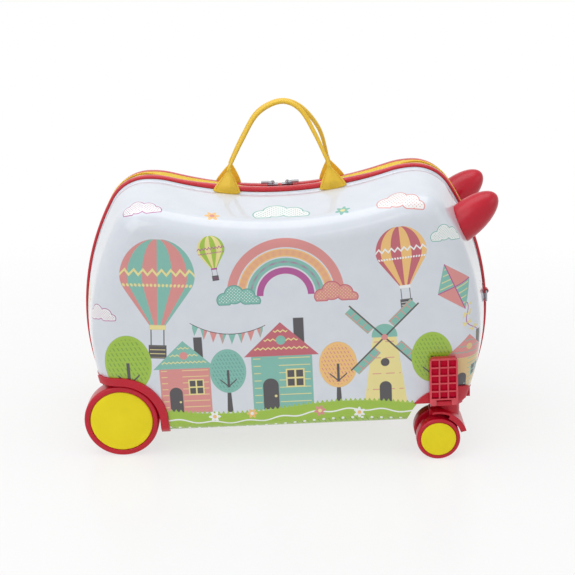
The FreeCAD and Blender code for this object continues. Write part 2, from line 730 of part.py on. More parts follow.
bowl_radius = size("socket_radius") + bowl_height + 3
bowl = Part.makeCone(size("socket_radius"), bowl_radius, bowl_height, socket_foot + V(0, 0, 2))
socket = socket.fuse(bowl).common(pocket).common(on_shell)
rib = size("bracket_rib")
tall = 2 * size("front_arch_radius")
ribs = Part.makeBox(60, rib, tall, V(stem_x - 36, stem_y - rib / 2, size("bracket_z")))
ribs = ribs.fuse(Part.makeBox(rib, 66, tall, V(stem_x - rib / 2, stem_y - 20, size("bracket_z"))))
ribs = ribs.common(front_arch(front - 1, front_back + 1, size("half_width") - bracket_wall)).common(low)
knuckle_x = size("footrest_x") - size("knuckle_width") / 2
knuckle_at = V(knuckle_x, -size("footrest_axis_y"), size("footrest_axis_z"))
knuckle_radius = size("footrest_thickness") / 2 - CLEAR
knuckle = Part.makeCylinder(knuckle_radius, size("knuckle_width"), knuckle_at, V(1, 0, 0))
arm_depth = size("footrest_stand") - 0.5
arm = Part.makeBox(
    size("knuckle_width"), arm_depth, 2 * knuckle_radius, knuckle_at - V(0, 0, knuckle_radius)
)
bracket = bracket.fuse(socket).fuse(ribs).fuse(knuckle).fuse(arm)
stem_bore = size("stem_radius") + size("running_fit")
bracket = bracket.cut(Part.makeCylinder(stem_bore, 2 * tall, V(stem_x, stem_y, 0)))
pin_start = knuckle_at - V(size("knuckle_width"), 0, 0)
pin_bore = Part.makeCylinder(
    size("hinge_pin_radius") + SNUG, 3 * size("knuckle_width"), pin_start, V(1, 0, 0)
)
near_caster_bracket = feature("near_caster_bracket", bracket.cut(pin_bore).removeSplitter())
near_bracket_screws = screws("near_bracket_screws", BRACKET_SCREWS, size("short_grip"))

# Caster: a fork with a neck, a web between the wheels and a hood in front.
axle_x = size("caster_axle_x")
axle_z = size("caster_axle_z")
neck_top = size("socket_z") - 0.4
hood_half = size("hood_width") / 2
hood_in = size("hood_radius") - size("hood_thickness")


def hood_point(radius, angle):
    """A point of the hood's side view, round the caster axle."""
    turn = math.radians(angle)
    return V(axle_x + radius * math.cos(turn), 0, axle_z + radius * math.sin(turn))


def hood_bow(inner, first, last, start, end):
    """A bowed bar under the hood's outer side: inner radius, two angles, and its reach across."""
    outer = size("hood_radius")
    middle = (first + last) / 2
    edges = [
        Part.Arc(*[hood_point(outer, a) for a in (first, middle, last)]).toShape(),
        Part.makeLine(hood_point(outer, last), hood_point(inner, last)),
        Part.Arc(*[hood_point(inner, a) for a in (last, middle, first)]).toShape(),
        Part.makeLine(hood_point(inner, first), hood_point(outer, first)),
    ]
    return prism(edges, size("caster_y") + start, size("caster_y") + end)


hood_first = size("hood_low_angle")
lip_in = size("hood_radius") - size("hood_lip")
lip_width = size("hood_thickness")
hood = hood_bow(hood_in, hood_first, size("hood_high_angle"), -hood_half, hood_half)
hood = hood.fuse(hood_bow(lip_in, hood_first, size("hood_end_angle"), -hood_half, hood_half))
for start in (-hood_half, hood_half - lip_width):
    hood = hood.fuse(hood_bow(lip_in, hood_first, size("hood_lip_angle"), start, start + lip_width))

web_half = size("caster_web") / 2
web = Part.makeCylinder(hood_in + 1, size("caster_web"), V(axle_x, stem_y - web_half, axle_z), V(0, 1, 0))
web = web.common(Part.makeBox(size("caster_trail") + 17, 60, 90, V(axle_x - 8, stem_y - 30, axle_z - 8)))
neck = Part.makeCylinder(size("neck_radius"), neck_top - axle_z - 12, V(stem_x, stem_y, axle_z + 12))
neck = neck.cut(Part.makeCylinder(hood_in, 60, V(axle_x, stem_y - 30, axle_z), V(0, 1, 0)))
fork = web.fuse(hood).fuse(neck)
fork = fork.cut(Part.makeCylinder(size("stem_radius") + 0.02, 100, V(stem_x, stem_y, axle_z + 10)))
axle_bore = size("caster_axle_radius") + size("running_fit")
fork = fork.cut(Part.makeCylinder(axle_bore, 100, V(axle_x, stem_y - 50, axle_z), V(0, 1, 0)))
near_caster_fork = feature("near_caster_fork", fork.removeSplitter())

near_caster_stem = rod(
    "near_caster_stem", "Dims.stem_radius", "%f" % (roof - 2 - axle_z - 10.3), (stem_x, stem_y, axle_z + 10.3)
)

# The two wheels of a caster turn together on one pin; each carries a yellow disc outside.
wheel_gap = web_half + 0.6
caster_profile = [
    ("Dims.caster_axle_radius + 0.02", "0"),
    ("Dims.caster_wheel_radius - 2.5", "0"),
    ("Dims.caster_wheel_radius - 0.7", "-0.8"),
    ("Dims.caster_wheel_radius", "-2.8"),
    ("Dims.caster_wheel_radius", "-Dims.caster_wheel_width + 3.2"),
    ("Dims.caster_wheel_radius - 0.7", "-Dims.caster_wheel_width + 1"),
    ("Dims.caster_wheel_radius - 2.5", "-Dims.caster_wheel_width"),
    ("Dims.caster_cap_radius + 0.2", "-Dims.caster_wheel_width"),
    ("Dims.caster_cap_radius + 0.2", "-Dims.caster_wheel_width + Dims.caster_cap_depth"),
    ("Dims.caster_axle_radius + 0.02", "-Dims.caster_wheel_width + Dims.caster_cap_depth"),
]
disc_profile = [
    ("0", "-Dims.caster_wheel_width + Dims.caster_cap_depth - 0.05"),
    ("Dims.caster_cap_radius", "-Dims.caster_wheel_width + Dims.caster_cap_depth - 0.05"),
    ("Dims.caster_cap_radius", "-Dims.caster_wheel_width + 0.2"),
    ("Dims.caster_cap_radius - 1", "-Dims.caster_wheel_width - 0.2"),
    ("0", "-Dims.caster_wheel_width - 0.6"),
]
outer_at = (axle_x, stem_y - wheel_gap, axle_z)
near_caster_outer_wheel = turned("near_caster_outer_wheel", caster_profile, outer_at)
near_caster_outer_cap = turned("near_caster_outer_cap", disc_profile, outer_at)
HALF_TURN = FreeCAD.Rotation(V(0, 0, 1), 180)
near_caster_inner_wheel = turned("near_caster_inner_wheel", caster_profile, (0, 0, 0))
near_caster_inner_wheel.Placement = FreeCAD.Placement(V(axle_x, stem_y + wheel_gap, axle_z), HALF_TURN)
near_caster_inner_cap = turned("near_caster_inner_cap", disc_profile, (0, 0, 0))
near_caster_inner_cap.Placement = FreeCAD.Placement(V(axle_x, stem_y + wheel_gap, axle_z), HALF_TURN)
pin_half = wheel_gap + size("caster_wheel_width") - size("caster_cap_depth") - 0.2
near_caster_axle = rod(
    "near_caster_axle", "Dims.caster_axle_radius", "%f" % (2 * pin_half),
    (axle_x, stem_y - pin_half, axle_z), ALONG_Y,
)

# Footrest: a flat plate with a grid of ribs, two ears and a notch for the knuckle.
half = "Dims.footrest_width / 2"
ear = "Dims.knuckle_width / 2 + 0.35"
thick = size("footrest_thickness")
plate_back = size("footrest_axis_y") - thick / 2
foot_at = (size("footrest_x"), -plate_back, size("footrest_axis_z"))
plate = padded("footrest_plate", [
    ("-(%s) + 1" % half, "0"),
    ("-(%s)" % ear, "0"),
    ("-(%s)" % ear, "Dims.footrest_thickness / 2 + 1"),
    (ear, "Dims.footrest_thickness / 2 + 1"),
    (ear, "0"),
    ("%s - 1" % half, "0"),
    (half, "1"),
    ("%s - 0.6" % half, "Dims.footrest_height - 3"),
    ("%s - 3.2" % half, "Dims.footrest_height"),
    ("-(%s) + 3.2" % half, "Dims.footrest_height"),
    ("-(%s) + 0.6" % half, "Dims.footrest_height - 3"),
    ("-(%s)" % half, "1"),
], "Dims.footrest_thickness", foot_at)
ears = []
for side in (-1, 1):
    start_x = size("footrest_x") + (worth(ear) if side > 0 else 1 - size("footrest_width") / 2)
    ears.append(rod(
        "footrest_ear_%d" % (side + 1),
        "Dims.footrest_thickness / 2",
        "Dims.footrest_width / 2 - 1 - (%s)" % ear,
        (start_x, -size("footrest_axis_y"), size("footrest_axis_z")),
        ALONG_X,
    ))
cells = []
columns = 3
rows = 5
rib = size("footrest_rib")
low_z = size("footrest_axis_z") + thick / 2 + 1 + rib
high_z = size("footrest_axis_z") + size("footrest_height") - rib - 0.6
cell_x = (size("footrest_width") - 1.2 - (columns + 1) * rib) / columns
cell_z = (high_z - low_z - (rows - 1) * rib) / rows
for i in range(columns):
    for j in range(rows):
        corner_x = size("footrest_x") - size("footrest_width") / 2 + 0.6 + rib + i * (cell_x + rib)
        corner_z = low_z + j * (cell_z + rib)
        depth = thick - size("footrest_floor")
        corner = (corner_x, -plate_back - thick - 1, corner_z)
        cell = "footrest_cell_%d_%d" % (i, j)
        cells.append(block(cell, "%f" % cell_x, "%f" % (depth + 1), "%f" % cell_z, corner))
body = fuse("footrest_body", [plate] + ears)
grid = cut("footrest_grid", body, group("footrest_cells", cells))
left_end = V(
    size("footrest_x") - size("footrest_width") / 2, -size("footrest_axis_y"), size("footrest_axis_z")
)
bore = rod(
    "footrest_bore", "Dims.hinge_pin_radius + Dims.running_fit", "Dims.footrest_width + 4",
    left_end - V(2, 0, 0), ALONG_X,
)
near_footrest = cut("near_footrest", grid, bore)
near_footrest_pin = rod(
    "near_footrest_pin", "Dims.hinge_pin_radius", "Dims.footrest_width - 2",
    left_end + V(1, 0, 0), ALONG_X,
)

# Horn: half an ellipsoid standing on the end wall.
horn_seat = end_wall(size("horn_y"), size("horn_z"))[0]
horn_full = primitive(
    "Ellipsoid", "horn_ellipsoid",
    {"Radius1": "Dims.horn_length", "Radius2": "Dims.horn_radius", "Radius3": "Dims.horn_half_width"},
    horn_seat + V(size("horn_stand"), 0, 0),
    FreeCAD.Rotation(V(0, -1, 0), size("horn_angle")) * ALONG_X,
)
outer_skin = feature("outer_skin", on_shell)
near_horn = cut("near_horn", horn_full, outer_skin)
near_horn_screws = screws("near_horn_screws", HORN_SCREWS, size("long_grip"))

# Handle: two tabs sewn in behind the binding and a soft roll between their tips.
tabs = []
tab_tip = "%s - Dims.handle_radius - 0.8" % PLACES["handle_z"]
tab_foot = "Dims.saddle_z - 12"
tab_knee = "Dims.saddle_z + 3"
for side in (-1, 1):
    tab = padded("handle_tab_%d" % (side + 1), [
        ("%d * Dims.tab_x - Dims.tab_width / 2" % side, tab_foot),
        ("%d * Dims.tab_x + Dims.tab_width / 2" % side, tab_foot),
        ("%d * Dims.tab_x + Dims.tab_width / 2" % side, tab_knee),
        ("%d * Dims.handle_x + Dims.tab_tip_width / 2" % side, tab_tip),
        ("%d * Dims.handle_x - Dims.tab_tip_width / 2" % side, tab_tip),
        ("%d * Dims.tab_x - Dims.tab_width / 2" % side, tab_knee),
    ], "Dims.tab_thickness", (0, -size("tab_y") + size("tab_thickness") / 2, 0))
    tabs.append(cut("handle_tab_seated_%d" % (side + 1), tab, outer_skin))
near_handle_tabs = group("near_handle_tabs", tabs)

rise = size("handle_rise")
lean = math.degrees(math.atan2(size("tab_y") - size("handle_radius") - 0.3, rise))
path_points = [
    V(-size("handle_x"), 0, 0),
    V(-0.72 * size("handle_x"), 0, 0.42 * rise),
    V(-0.38 * size("handle_x"), 0, 0.83 * rise),
    V(size("handle_top_x"), 0, rise),
    V(0.47 * size("handle_x"), 0, 0.87 * rise),
    V(0.75 * size("handle_x"), 0, 0.48 * rise),
    V(size("handle_x"), 0, 0),
]
curve = Part.BSplineCurve()
curve.interpolate(path_points)
spine = Part.Wire([curve.toShape()])
start_dir = curve.tangent(curve.FirstParameter)[0]
ring = Part.Wire([Part.makeCircle(size("handle_radius"), path_points[0], start_dir)])
roll = spine.makePipeShell([ring], True, False)
for end in (path_points[0], path_points[-1]):
    roll = roll.fuse(Part.makeSphere(size("handle_radius"), end))
roll.rotate(V(0, 0, 0), V(1, 0, 0), -lean)
roll.translate(V(0, -size("tab_y"), size("handle_z")))
near_carry_handle = feature("near_carry_handle", roll)

# Zip sliders ride on the teeth in the saddle and follow its arc.
def on_saddle(thing, x):
    """Turn a piece made over the middle of the saddle along the saddle's arc."""
    centre = V(0, 0, CENTRES["saddle"][1])
    angle = math.degrees(math.asin(x / CENTRES["saddle"][2]))
    turn = FreeCAD.Rotation(V(0, -1, 0), angle)
    place = FreeCAD.Placement(V(0, 0, 0), turn, centre)
    thing.Placement = place.multiply(thing.Placement)
    return thing


slider_base = size("saddle_z") - tape_in + size("coil_height") + 0.35
sliders = {}
pulls = {}
for name, side in (("rear", -1), ("front", 1)):
    length = size("slider_length")
    width = size("slider_width")
    body = block(
        "slider_body_" + name, "Dims.slider_length", "Dims.slider_width", "Dims.slider_height",
        (-length / 2, -width / 2, slider_base),
    )
    eye_z = slider_base + size("slider_height") + size("slider_eye")
    loop_outer = rod("slider_loop_" + name, "2.3", "2.6", (0, -1.3, eye_z), ALONG_Y)
    loop_inner = rod("slider_eye_" + name, "Dims.pull_wire / 2 + 0.4", "6", (0, -3, eye_z), ALONG_Y)
    whole = fuse("slider_whole_" + name, [body, loop_outer])
    slider = cut("zip_slider_" + name, whole, loop_inner)
    sliders[name] = on_saddle(slider, side * size("slider_x"))
    wire = size("pull_wire") / 2
    leg_reach = "Dims.pull_length * 0.4"
    bar_start = (0, -size("pull_width") / 2, eye_z)
    bar = rod("pull_bar_" + name, "Dims.pull_wire / 2", "Dims.pull_width", bar_start, ALONG_Y)
    legs = []
    for leg_side in (-1, 1):
        at = (0, leg_side * (size("pull_width") / 2 - wire), eye_z)
        turn = FreeCAD.Rotation(V(0, 0, 1), V(side, 0, 0))
        legs.append(rod("pull_leg_%s_%d" % (name, leg_side + 1), "Dims.pull_wire / 2", leg_reach, at, turn))
    grip_x = worth("Dims.pull_length * 0.35") if side > 0 else -size("pull_length")
    proud = size("pull_proud")
    grip = block(
        "pull_grip_" + name, "Dims.pull_length * 0.65",
        "Dims.pull_width + 2 * Dims.pull_proud", "Dims.pull_wire + 2 * Dims.pull_proud",
        (grip_x, -size("pull_width") / 2 - proud, eye_z - wire - proud),
    )
    pull = fuse("zip_pull_" + name, [bar] + legs + [grip])
    pulls[name] = on_saddle(pull, side * size("slider_x"))

# Tow ring: a wire ring in a rolled tab on the front end of the near shell.
ring_wall = [p for p in Part.makeLine(
    V(0, -size("ring_y"), size("ring_z")), V(400, -size("ring_y"), size("ring_z"))
).common(OUTER).Vertexes]
ring_x = max(v.X for v in ring_wall) + size("ring_tab_radius") + 0.15
tab_start = -size("ring_y") - size("ring_tab_length") / 2
roll_tab = rod(
    "ring_roll", "Dims.ring_tab_radius", "Dims.ring_tab_length",
    (ring_x, tab_start, size("ring_z")), ALONG_Y,
)
tail = block(
    "ring_tail", "Dims.ring_tab_sheet", "Dims.ring_tab_length", "Dims.ring_tab_tail",
    (ring_x - size("ring_tab_radius"), tab_start, size("ring_z")),
)
tab_solid = fuse("ring_tab_solid", [roll_tab, tail])
tab_bored = cut("ring_tab_bored", tab_solid, rod(
    "ring_eye", "Dims.ring_wire + Dims.ring_play", "Dims.ring_tab_length + 4",
    (ring_x, tab_start - 2, size("ring_z")), ALONG_Y,
))
tow_ring_tab = cut("tow_ring_tab", tab_bored, outer_skin)

# The ring is a long link bent from round wire; its upper side runs straight through the tab.
straight = size("ring_tab_length") + 2 * size("ring_wire") + 2 * size("ring_play")
drop = 2 * size("ring_radius")
bend = size("ring_bend")
corners = [
    V(ring_x, -size("ring_y") + straight / 2, size("ring_z")),
    V(ring_x, -size("ring_y") + straight / 2, size("ring_z") - drop),
    V(ring_x, -size("ring_y") - straight / 2, size("ring_z") - drop),
    V(ring_x, -size("ring_y") - straight / 2, size("ring_z")),
]
wire_runs = []
for before, corner, after in zip(corners[-1:] + corners[:-1], corners, corners[1:] + corners[:1]):
    along = (corner - before).normalize()
    onward = (after - corner).normalize()
    section = Part.Face(Part.Wire(Part.makeCircle(size("ring_wire"), corner - along * bend, along)))
    wire_runs.append(section.extrude(along * (2 * bend - (corner - before).Length)))
    wire_runs.append(section.revolve(corner - along * bend + onward * bend, along.cross(onward), 90))
link = wire_runs[0].fuse(wire_runs[1:])
tow_ring = feature("tow_ring", link.removeSplitter())

doc.recompute()

# Near pieces, and their mirror images on the far side.
NEAR = [
    near_shell, near_edge_binding, near_zip_tape, near_zip_teeth, near_lining,
    near_wheel_housing, near_housing_screws, near_axle_bolt, near_rear_wheel, near_wheel_cap,
    near_caster_bracket, near_bracket_screws, near_caster_fork, near_caster_stem,
    near_caster_outer_wheel, near_caster_inner_wheel, near_caster_outer_cap, near_caster_inner_cap,
    near_caster_axle, near_footrest, near_footrest_pin, near_horn, near_horn_screws,
    near_handle_tabs, near_carry_handle,
]
MIDDLE = [
    hinge_cloth, sliders["rear"], sliders["front"], pulls["rear"], pulls["front"],
    tow_ring_tab, tow_ring,
]

# Stance: pitch the case until the rear wheels and the casters stand on one floor.
ahead = size("caster_axle_x") - size("rear_axle_x")
lower_by = size("caster_axle_z") - size("rear_axle_z")
smaller_by = size("caster_wheel_radius") - size("rear_wheel_radius")
pitch = math.asin(smaller_by / math.hypot(ahead, lower_by)) - math.atan2(lower_by, ahead)
nose_up = FreeCAD.Rotation(V(0, -1, 0), math.degrees(pitch))
tilted = FreeCAD.Placement(V(0, 0, 0), nose_up)
room = FreeCAD.BoundBox()
for thing in NEAR + MIDDLE:
    shape = thing.Shape.copy()
    shape.Placement = tilted.multiply(shape.Placement)
    room.add(shape.optimalBoundingBox(True, False))
shift = V(-(room.XMin + room.XMax) / 2, 0, -room.ZMin)
STANCE = FreeCAD.Placement(shift, nose_up)

nodes = []
for thing in NEAR + MIDDLE:
    thing.Placement = STANCE.multiply(thing.Placement)
    thing.Label = thing.Name
    nodes.append(thing)
for thing in NEAR:
    twin = doc.addObject("Part::Mirroring", thing.Name.replace("near_", "far_"))
    twin.Source = thing
    twin.Base = V(0, 0, 0)
    twin.Normal = V(0, 1, 0)
    twin.Label = twin.Name
    nodes.append(twin)
doc.recompute()

for thing in doc.Objects:
    if "Invalid" in thing.State or "Error" in thing.State:
        raise RuntimeError("%s did not build: %s" % (thing.Label, thing.State))
for thing in nodes:
    if thing.Shape.isNull() or not thing.Shape.isValid() or not thing.Shape.Solids:
        raise RuntimeError("%s has no sound solid" % thing.Label)
    thing.Shape.exportStep("parts/%s.step" % thing.Label)

print("pitch %.3f deg, shift %.3f %.3f" % (math.degrees(pitch), shift.x, shift.z))
print("ring x %.4f in the case frame" % ring_x)
print("pieces", len(nodes))
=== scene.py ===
# %% [markdown]
# A child's ride-on case: two moulded half shells with a printed film, joined by a zip along the saddle
# and by a cloth hinge under the belly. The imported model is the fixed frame. Every piece below is either
# one of its solids with a better finish, or a surface worked out with numpy that stands for a solid.

import json
import math

import bmesh
import bpy
import numpy as np
from mathutils import Matrix

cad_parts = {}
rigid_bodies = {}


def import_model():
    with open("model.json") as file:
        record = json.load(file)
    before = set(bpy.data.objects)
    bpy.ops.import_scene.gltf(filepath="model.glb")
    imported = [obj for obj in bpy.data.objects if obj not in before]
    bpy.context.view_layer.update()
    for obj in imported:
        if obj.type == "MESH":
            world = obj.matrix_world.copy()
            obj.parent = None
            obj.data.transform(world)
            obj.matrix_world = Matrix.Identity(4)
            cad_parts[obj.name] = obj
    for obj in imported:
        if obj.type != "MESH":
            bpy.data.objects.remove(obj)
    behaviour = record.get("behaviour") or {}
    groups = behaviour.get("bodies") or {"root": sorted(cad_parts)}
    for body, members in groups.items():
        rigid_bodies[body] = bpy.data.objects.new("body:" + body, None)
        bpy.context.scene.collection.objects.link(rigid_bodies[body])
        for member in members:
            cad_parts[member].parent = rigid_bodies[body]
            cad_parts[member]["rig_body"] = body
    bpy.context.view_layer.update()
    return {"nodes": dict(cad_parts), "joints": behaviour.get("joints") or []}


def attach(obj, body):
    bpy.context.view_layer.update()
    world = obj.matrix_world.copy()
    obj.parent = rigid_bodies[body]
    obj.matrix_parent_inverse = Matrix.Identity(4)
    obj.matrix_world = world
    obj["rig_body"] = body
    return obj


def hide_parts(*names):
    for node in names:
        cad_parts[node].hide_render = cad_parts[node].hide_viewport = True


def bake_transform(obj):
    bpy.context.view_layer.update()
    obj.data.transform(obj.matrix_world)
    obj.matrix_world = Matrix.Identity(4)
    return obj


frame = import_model()
joints = {joint["name"]: joint for joint in frame["joints"]}

# %% [markdown]
# The case stands nose up by a few degrees, because its casters reach further below the belly than its
# rear wheels. Its surfaces are far easier to write along its own axes, with the belly level and the zip
# at zero, so the axes are read from two joints: the caster's swivel gives "up", and the case's hinge
# gives the belly.

# %% The case's own axes
BELLY_Z = 29.0
UP = np.array(joints["near_caster_swivel"]["axis"])
AHEAD = np.array([UP[2], 0.0, -UP[0]])
ACROSS = np.array([0.0, 1.0, 0.0])
ORIGIN = np.array(joints["case_open"]["pos_m"]) - UP * BELLY_Z / 1000


def standing(points):
    """Millimetres along the case's axes (ahead, across, up) as metres where the part stands."""
    points = np.asarray(points, float) / 1000
    return ORIGIN + points[..., :1] * AHEAD + points[..., 1:2] * ACROSS + points[..., 2:] * UP


print("nose up by %.2f degrees" % math.degrees(math.asin(AHEAD[2])))

# %% [markdown]
# Every new surface is a grid of points. One helper joins neighbouring points into quads, and may close
# the grid round on itself; another makes the mesh, merges the doubled points of seams and poles, and
# turns all faces outwards. Pieces of the near half are mirrored across the zip plane for the far half.

# %% Grids, meshes and pieces
def quads_of(rows, columns, round_rows=False, round_columns=False):
    """Corner numbers of the quads of a grid, and the (row, column) of each corner for its flat map."""
    row = np.arange(rows + round_rows)
    column = np.arange(columns + round_columns)
    index = (row % rows)[:, None] * columns + (column % columns)[None, :]
    place = np.stack(np.broadcast_arrays(row[:, None], column[None, :]), -1)
    corners = [(slice(None, -1), slice(None, -1)), (slice(1, None), slice(None, -1)),
               (slice(1, None), slice(1, None)), (slice(None, -1), slice(1, None))]
    faces = np.stack([index[c] for c in corners], -1).reshape(-1, 4)
    places = np.stack([place[c] for c in corners], -2).reshape(-1, 4, 2)
    return faces, places


def round_quads(grid):
    """The quads of a grid of points that closes round its columns."""
    return quads_of(*grid.shape[:2], round_columns=True)


def copied_quads(rows, columns, count):
    """Corner numbers of many equal grids one after another, each closed round its columns."""
    faces, _ = quads_of(rows, columns, round_columns=True)
    return (faces + rows * columns * np.arange(count)[:, None, None]).reshape(-1, 4)


def flat_of(values, places):
    """The flat map in metres of each face corner, from a grid of (u, v) in millimetres."""
    return values[places[..., 0], places[..., 1] % values.shape[1]] / 1000


def mesh_of(name, points, faces, flat=None):
    """A smooth mesh with its doubles merged and its faces outwards; flat holds a (u, v) per corner."""
    mesh = bpy.data.meshes.new(name)
    mesh.from_pydata(points.reshape(-1, 3).tolist(), [], faces.tolist())
    if flat is not None:
        mesh.uv_layers.new(name="flat").data.foreach_set("uv", flat.astype(np.float32).ravel())
    work = bmesh.new()
    work.from_mesh(mesh)
    bmesh.ops.remove_doubles(work, verts=work.verts, dist=1e-6)
    bmesh.ops.recalc_face_normals(work, faces=work.faces)
    work.to_mesh(mesh)
    work.free()
    mesh.shade_smooth()
    return mesh


def linked(name, data):
    """A new object for its data, linked to the scene."""
    thing = bpy.data.objects.new(name, data)
    bpy.context.scene.collection.objects.link(thing)
    return thing


def finished(mesh, finish):
    """Gives a mesh one finish in place of what it had."""
    mesh.materials.clear()
    mesh.materials.append(finish)


def place(mesh, finish, body, slot, nodes=(), crease=None):
    """An object for a mesh: finished, riding on its body, and standing for the solids it replaces."""
    piece = linked(mesh.name, mesh)
    finished(mesh, finish)
    if crease:
        mesh.set_sharp_from_angle(angle=math.radians(crease))
    if nodes:
        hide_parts(*nodes)
    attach(piece, body)
    return piece


SIDES = {"near_": -1.0, "far_": 1.0}


def half_piece(side, name, points, faces, finish, body, slot, nodes=(), flat=None, crease=None):
    """One half's piece; its points hold the distance from the zip plane as across."""
    mesh = mesh_of(side + name, standing(points * (1, SIDES[side], 1)), faces, flat)
    return place(mesh, finish, side + body, slot, [side + n for n in nodes], crease)


def pair(*given, **more):
    """The near piece and its mirror image."""
    return [half_piece(side, *given, **more) for side in SIDES]


def smooth_line(points, steps):
    """A Catmull-Rom curve: each span is a cubic through its two points, sloped by their neighbours."""
    points = np.asarray(points, float)
    held = np.vstack([2 * points[0] - points[1], points, 2 * points[-1] - points[-2]])
    t = np.linspace(0, 1, steps, endpoint=False)[None, :, None]
    a, b, c, d = (held[i:len(held) - 3 + i][:, None, :] for i in range(4))
    curve = b + t * (c - a + t * (2 * a - 5 * b + 4 * c - d + t * (3 * b - a - 3 * c + d))) / 2
    return np.vstack([curve.reshape(-1, points.shape[1]), points[-1:]])


def unit(vectors):
    """Vectors of length one."""
    return vectors / np.linalg.norm(vectors, axis=-1, keepdims=True)


def full_turn(count):
    """Angles of a full turn in equal steps."""
    return 2 * math.pi * np.arange(count) / count


def deep(flat, y):
    """Points (x, y, z) from points (x, z) and their distances from the zip."""
    return np.stack(np.broadcast_arrays(flat[..., 0], y, flat[..., 1]), -1)


def length_along(line):
    """The distance run along a line of points, from its first."""
    return np.append(0, np.cumsum(np.linalg.norm(np.diff(line, axis=0), axis=1)))


def spaced(line, start, clear, step):
    """Points at an even step along a line, clear of its end, and the directions ahead."""
    run = length_along(line)
    stops = np.arange(start, run[-1] - clear, step)
    spots = np.stack([np.interp(stops, run, values) for values in line.T], -1)
    return spots, unit(np.gradient(spots, axis=0))


def signed_power(values, power):
    """The size of each value raised to a power, with the value's sign."""
    return np.sign(values) * np.abs(values) ** power


def eased(t):
    """A share from 0 to 1 that starts and ends level: 3 t^2 - 2 t^3."""
    return t * t * (3 - 2 * t)


def closed_ends(count):
    """A column of ones with a zero first and last, which draws those rows together."""
    closing = np.ones((count, 1))
    closing[[0, -1]] = 0.0
    return closing


print("helpers ready")

# %% [markdown]
# Colours are written as they look in the photograph, from 0 to 255, and turned into the linear values
# that the shader wants. A small class lets a pattern be written as arithmetic: adding two Fields adds a
# Math node, so a formula in the script becomes the same formula in the node tree.

# %% Colours and node arithmetic
def ink(red, green, blue):
    """A screen colour as linear light, with full alpha."""
    screen = np.array([red, green, blue]) / 255
    linear = np.where(screen <= 0.04045, screen / 12.92, ((screen + 0.055) / 1.055) ** 2.4)
    return (*linear.tolist(), 1.0)


def feed(tree, value, socket):
    """A Field or a socket is linked to the socket, a plain value is set on it."""
    if isinstance(value, Field):
        value = value.socket
    if isinstance(value, bpy.types.NodeSocket):
        tree.links.new(value, socket)
    else:
        socket.default_value = value


class Field:
    """A number that varies over a surface; arithmetic on it adds Math nodes."""

    def __init__(self, tree, socket):
        self.tree = tree
        self.socket = socket

    def math(self, operation, *others, clamp=False):
        """A Math node on this number and others."""
        node = new_node(self.tree, "Math", operation)
        node.use_clamp = clamp
        for value, socket in zip((self,) + others, node.inputs):
            feed(self.tree, value, socket)
        return Field(self.tree, node.outputs[0])

    def __add__(self, other):
        return self.math("ADD", other)

    def __sub__(self, other):
        return self.math("SUBTRACT", other)

    def __rsub__(self, other):
        return self.math("MULTIPLY_ADD", -1.0, other)

    def __mul__(self, other):
        return self.math("MULTIPLY", other)

    def __truediv__(self, other):
        return self.math("DIVIDE", other)

    def __abs__(self):
        return self.math("ABSOLUTE")

    __radd__ = __add__
    __rmul__ = __mul__


def fed(tree, node, inputs):
    """The node, with inputs fed that are named by their labels with _ for a space."""
    for label, value in inputs.items():
        feed(tree, value, node.inputs[label.replace("_", " ")])
    return node


def new_node(tree, kind, operation=None, **inputs):
    """A node with some of its inputs fed."""
    node = tree.nodes.new("ShaderNode" + kind)
    if operation:
        node.operation = operation
    return fed(tree, node, inputs)


def new_group(name, inputs, outputs):
    """An empty node group with named sockets, and its input and output nodes."""
    tree = bpy.data.node_groups.new(name, "ShaderNodeTree")
    for label, kind in inputs.items():
        tree.interface.new_socket(label, in_out="INPUT", socket_type="NodeSocket" + kind)
    for label, kind in outputs.items():
        tree.interface.new_socket(label, in_out="OUTPUT", socket_type="NodeSocket" + kind)
    return tree, tree.nodes.new("NodeGroupInput"), tree.nodes.new("NodeGroupOutput")


def use_group(tree, group, **inputs):
    """A group placed in a tree with its own values."""
    node = tree.nodes.new("ShaderNodeGroup")
    node.node_tree = group
    return fed(tree, node, inputs)


def blend_colour(tree, share, below, above):
    """One colour over another by a share from 0 to 1."""
    node = tree.nodes.new("ShaderNodeMix")
    node.data_type = "RGBA"
    return fed(tree, node, {"Factor": share, "A": below, "B": above}).outputs["Result"]


def flat_map(tree):
    """The piece's own flat map, in metres."""
    node = new_node(tree, "UVMap")
    node.uv_map = "flat"
    return node.outputs["UV"]


def split(tree, vector):
    """The three numbers of a vector."""
    node = new_node(tree, "SeparateXYZ", Vector=vector)
    return [Field(tree, output) for output in node.outputs]


def ramp(field, start, over):
    """A share that is 0 up to the start and climbs to 1 over a distance."""
    return (field - start).math("DIVIDE", over, clamp=True)


def bumped(tree, shader, strength, lift, height):
    """Lifts the shader's surface by a height from 0 to 1, in millimetres."""
    bump = new_node(tree, "Bump", Strength=strength, Distance=lift / 1000, Height=height)
    feed(tree, bump.outputs["Normal"], shader.inputs["Normal"])


def new_finish(name, **plain):
    """A material with one Principled shader; plain numbers and colours go on its own sockets."""
    material = bpy.data.materials.new(name)
    material.use_nodes = True
    tree = material.node_tree
    return material, tree, fed(tree, tree.nodes["Principled BSDF"], plain)


print("node helpers ready")

# %% [markdown]
# Two surface effects are shared by several finishes, so each is a node group built once. Moulded grain
# is the fine bite that a spark-eroded mould leaves on plastic, with a slow mottle for the uneven gloss.
# Weave is cloth seen close: two sets of threads, one over the other in turn, on the piece's flat map.

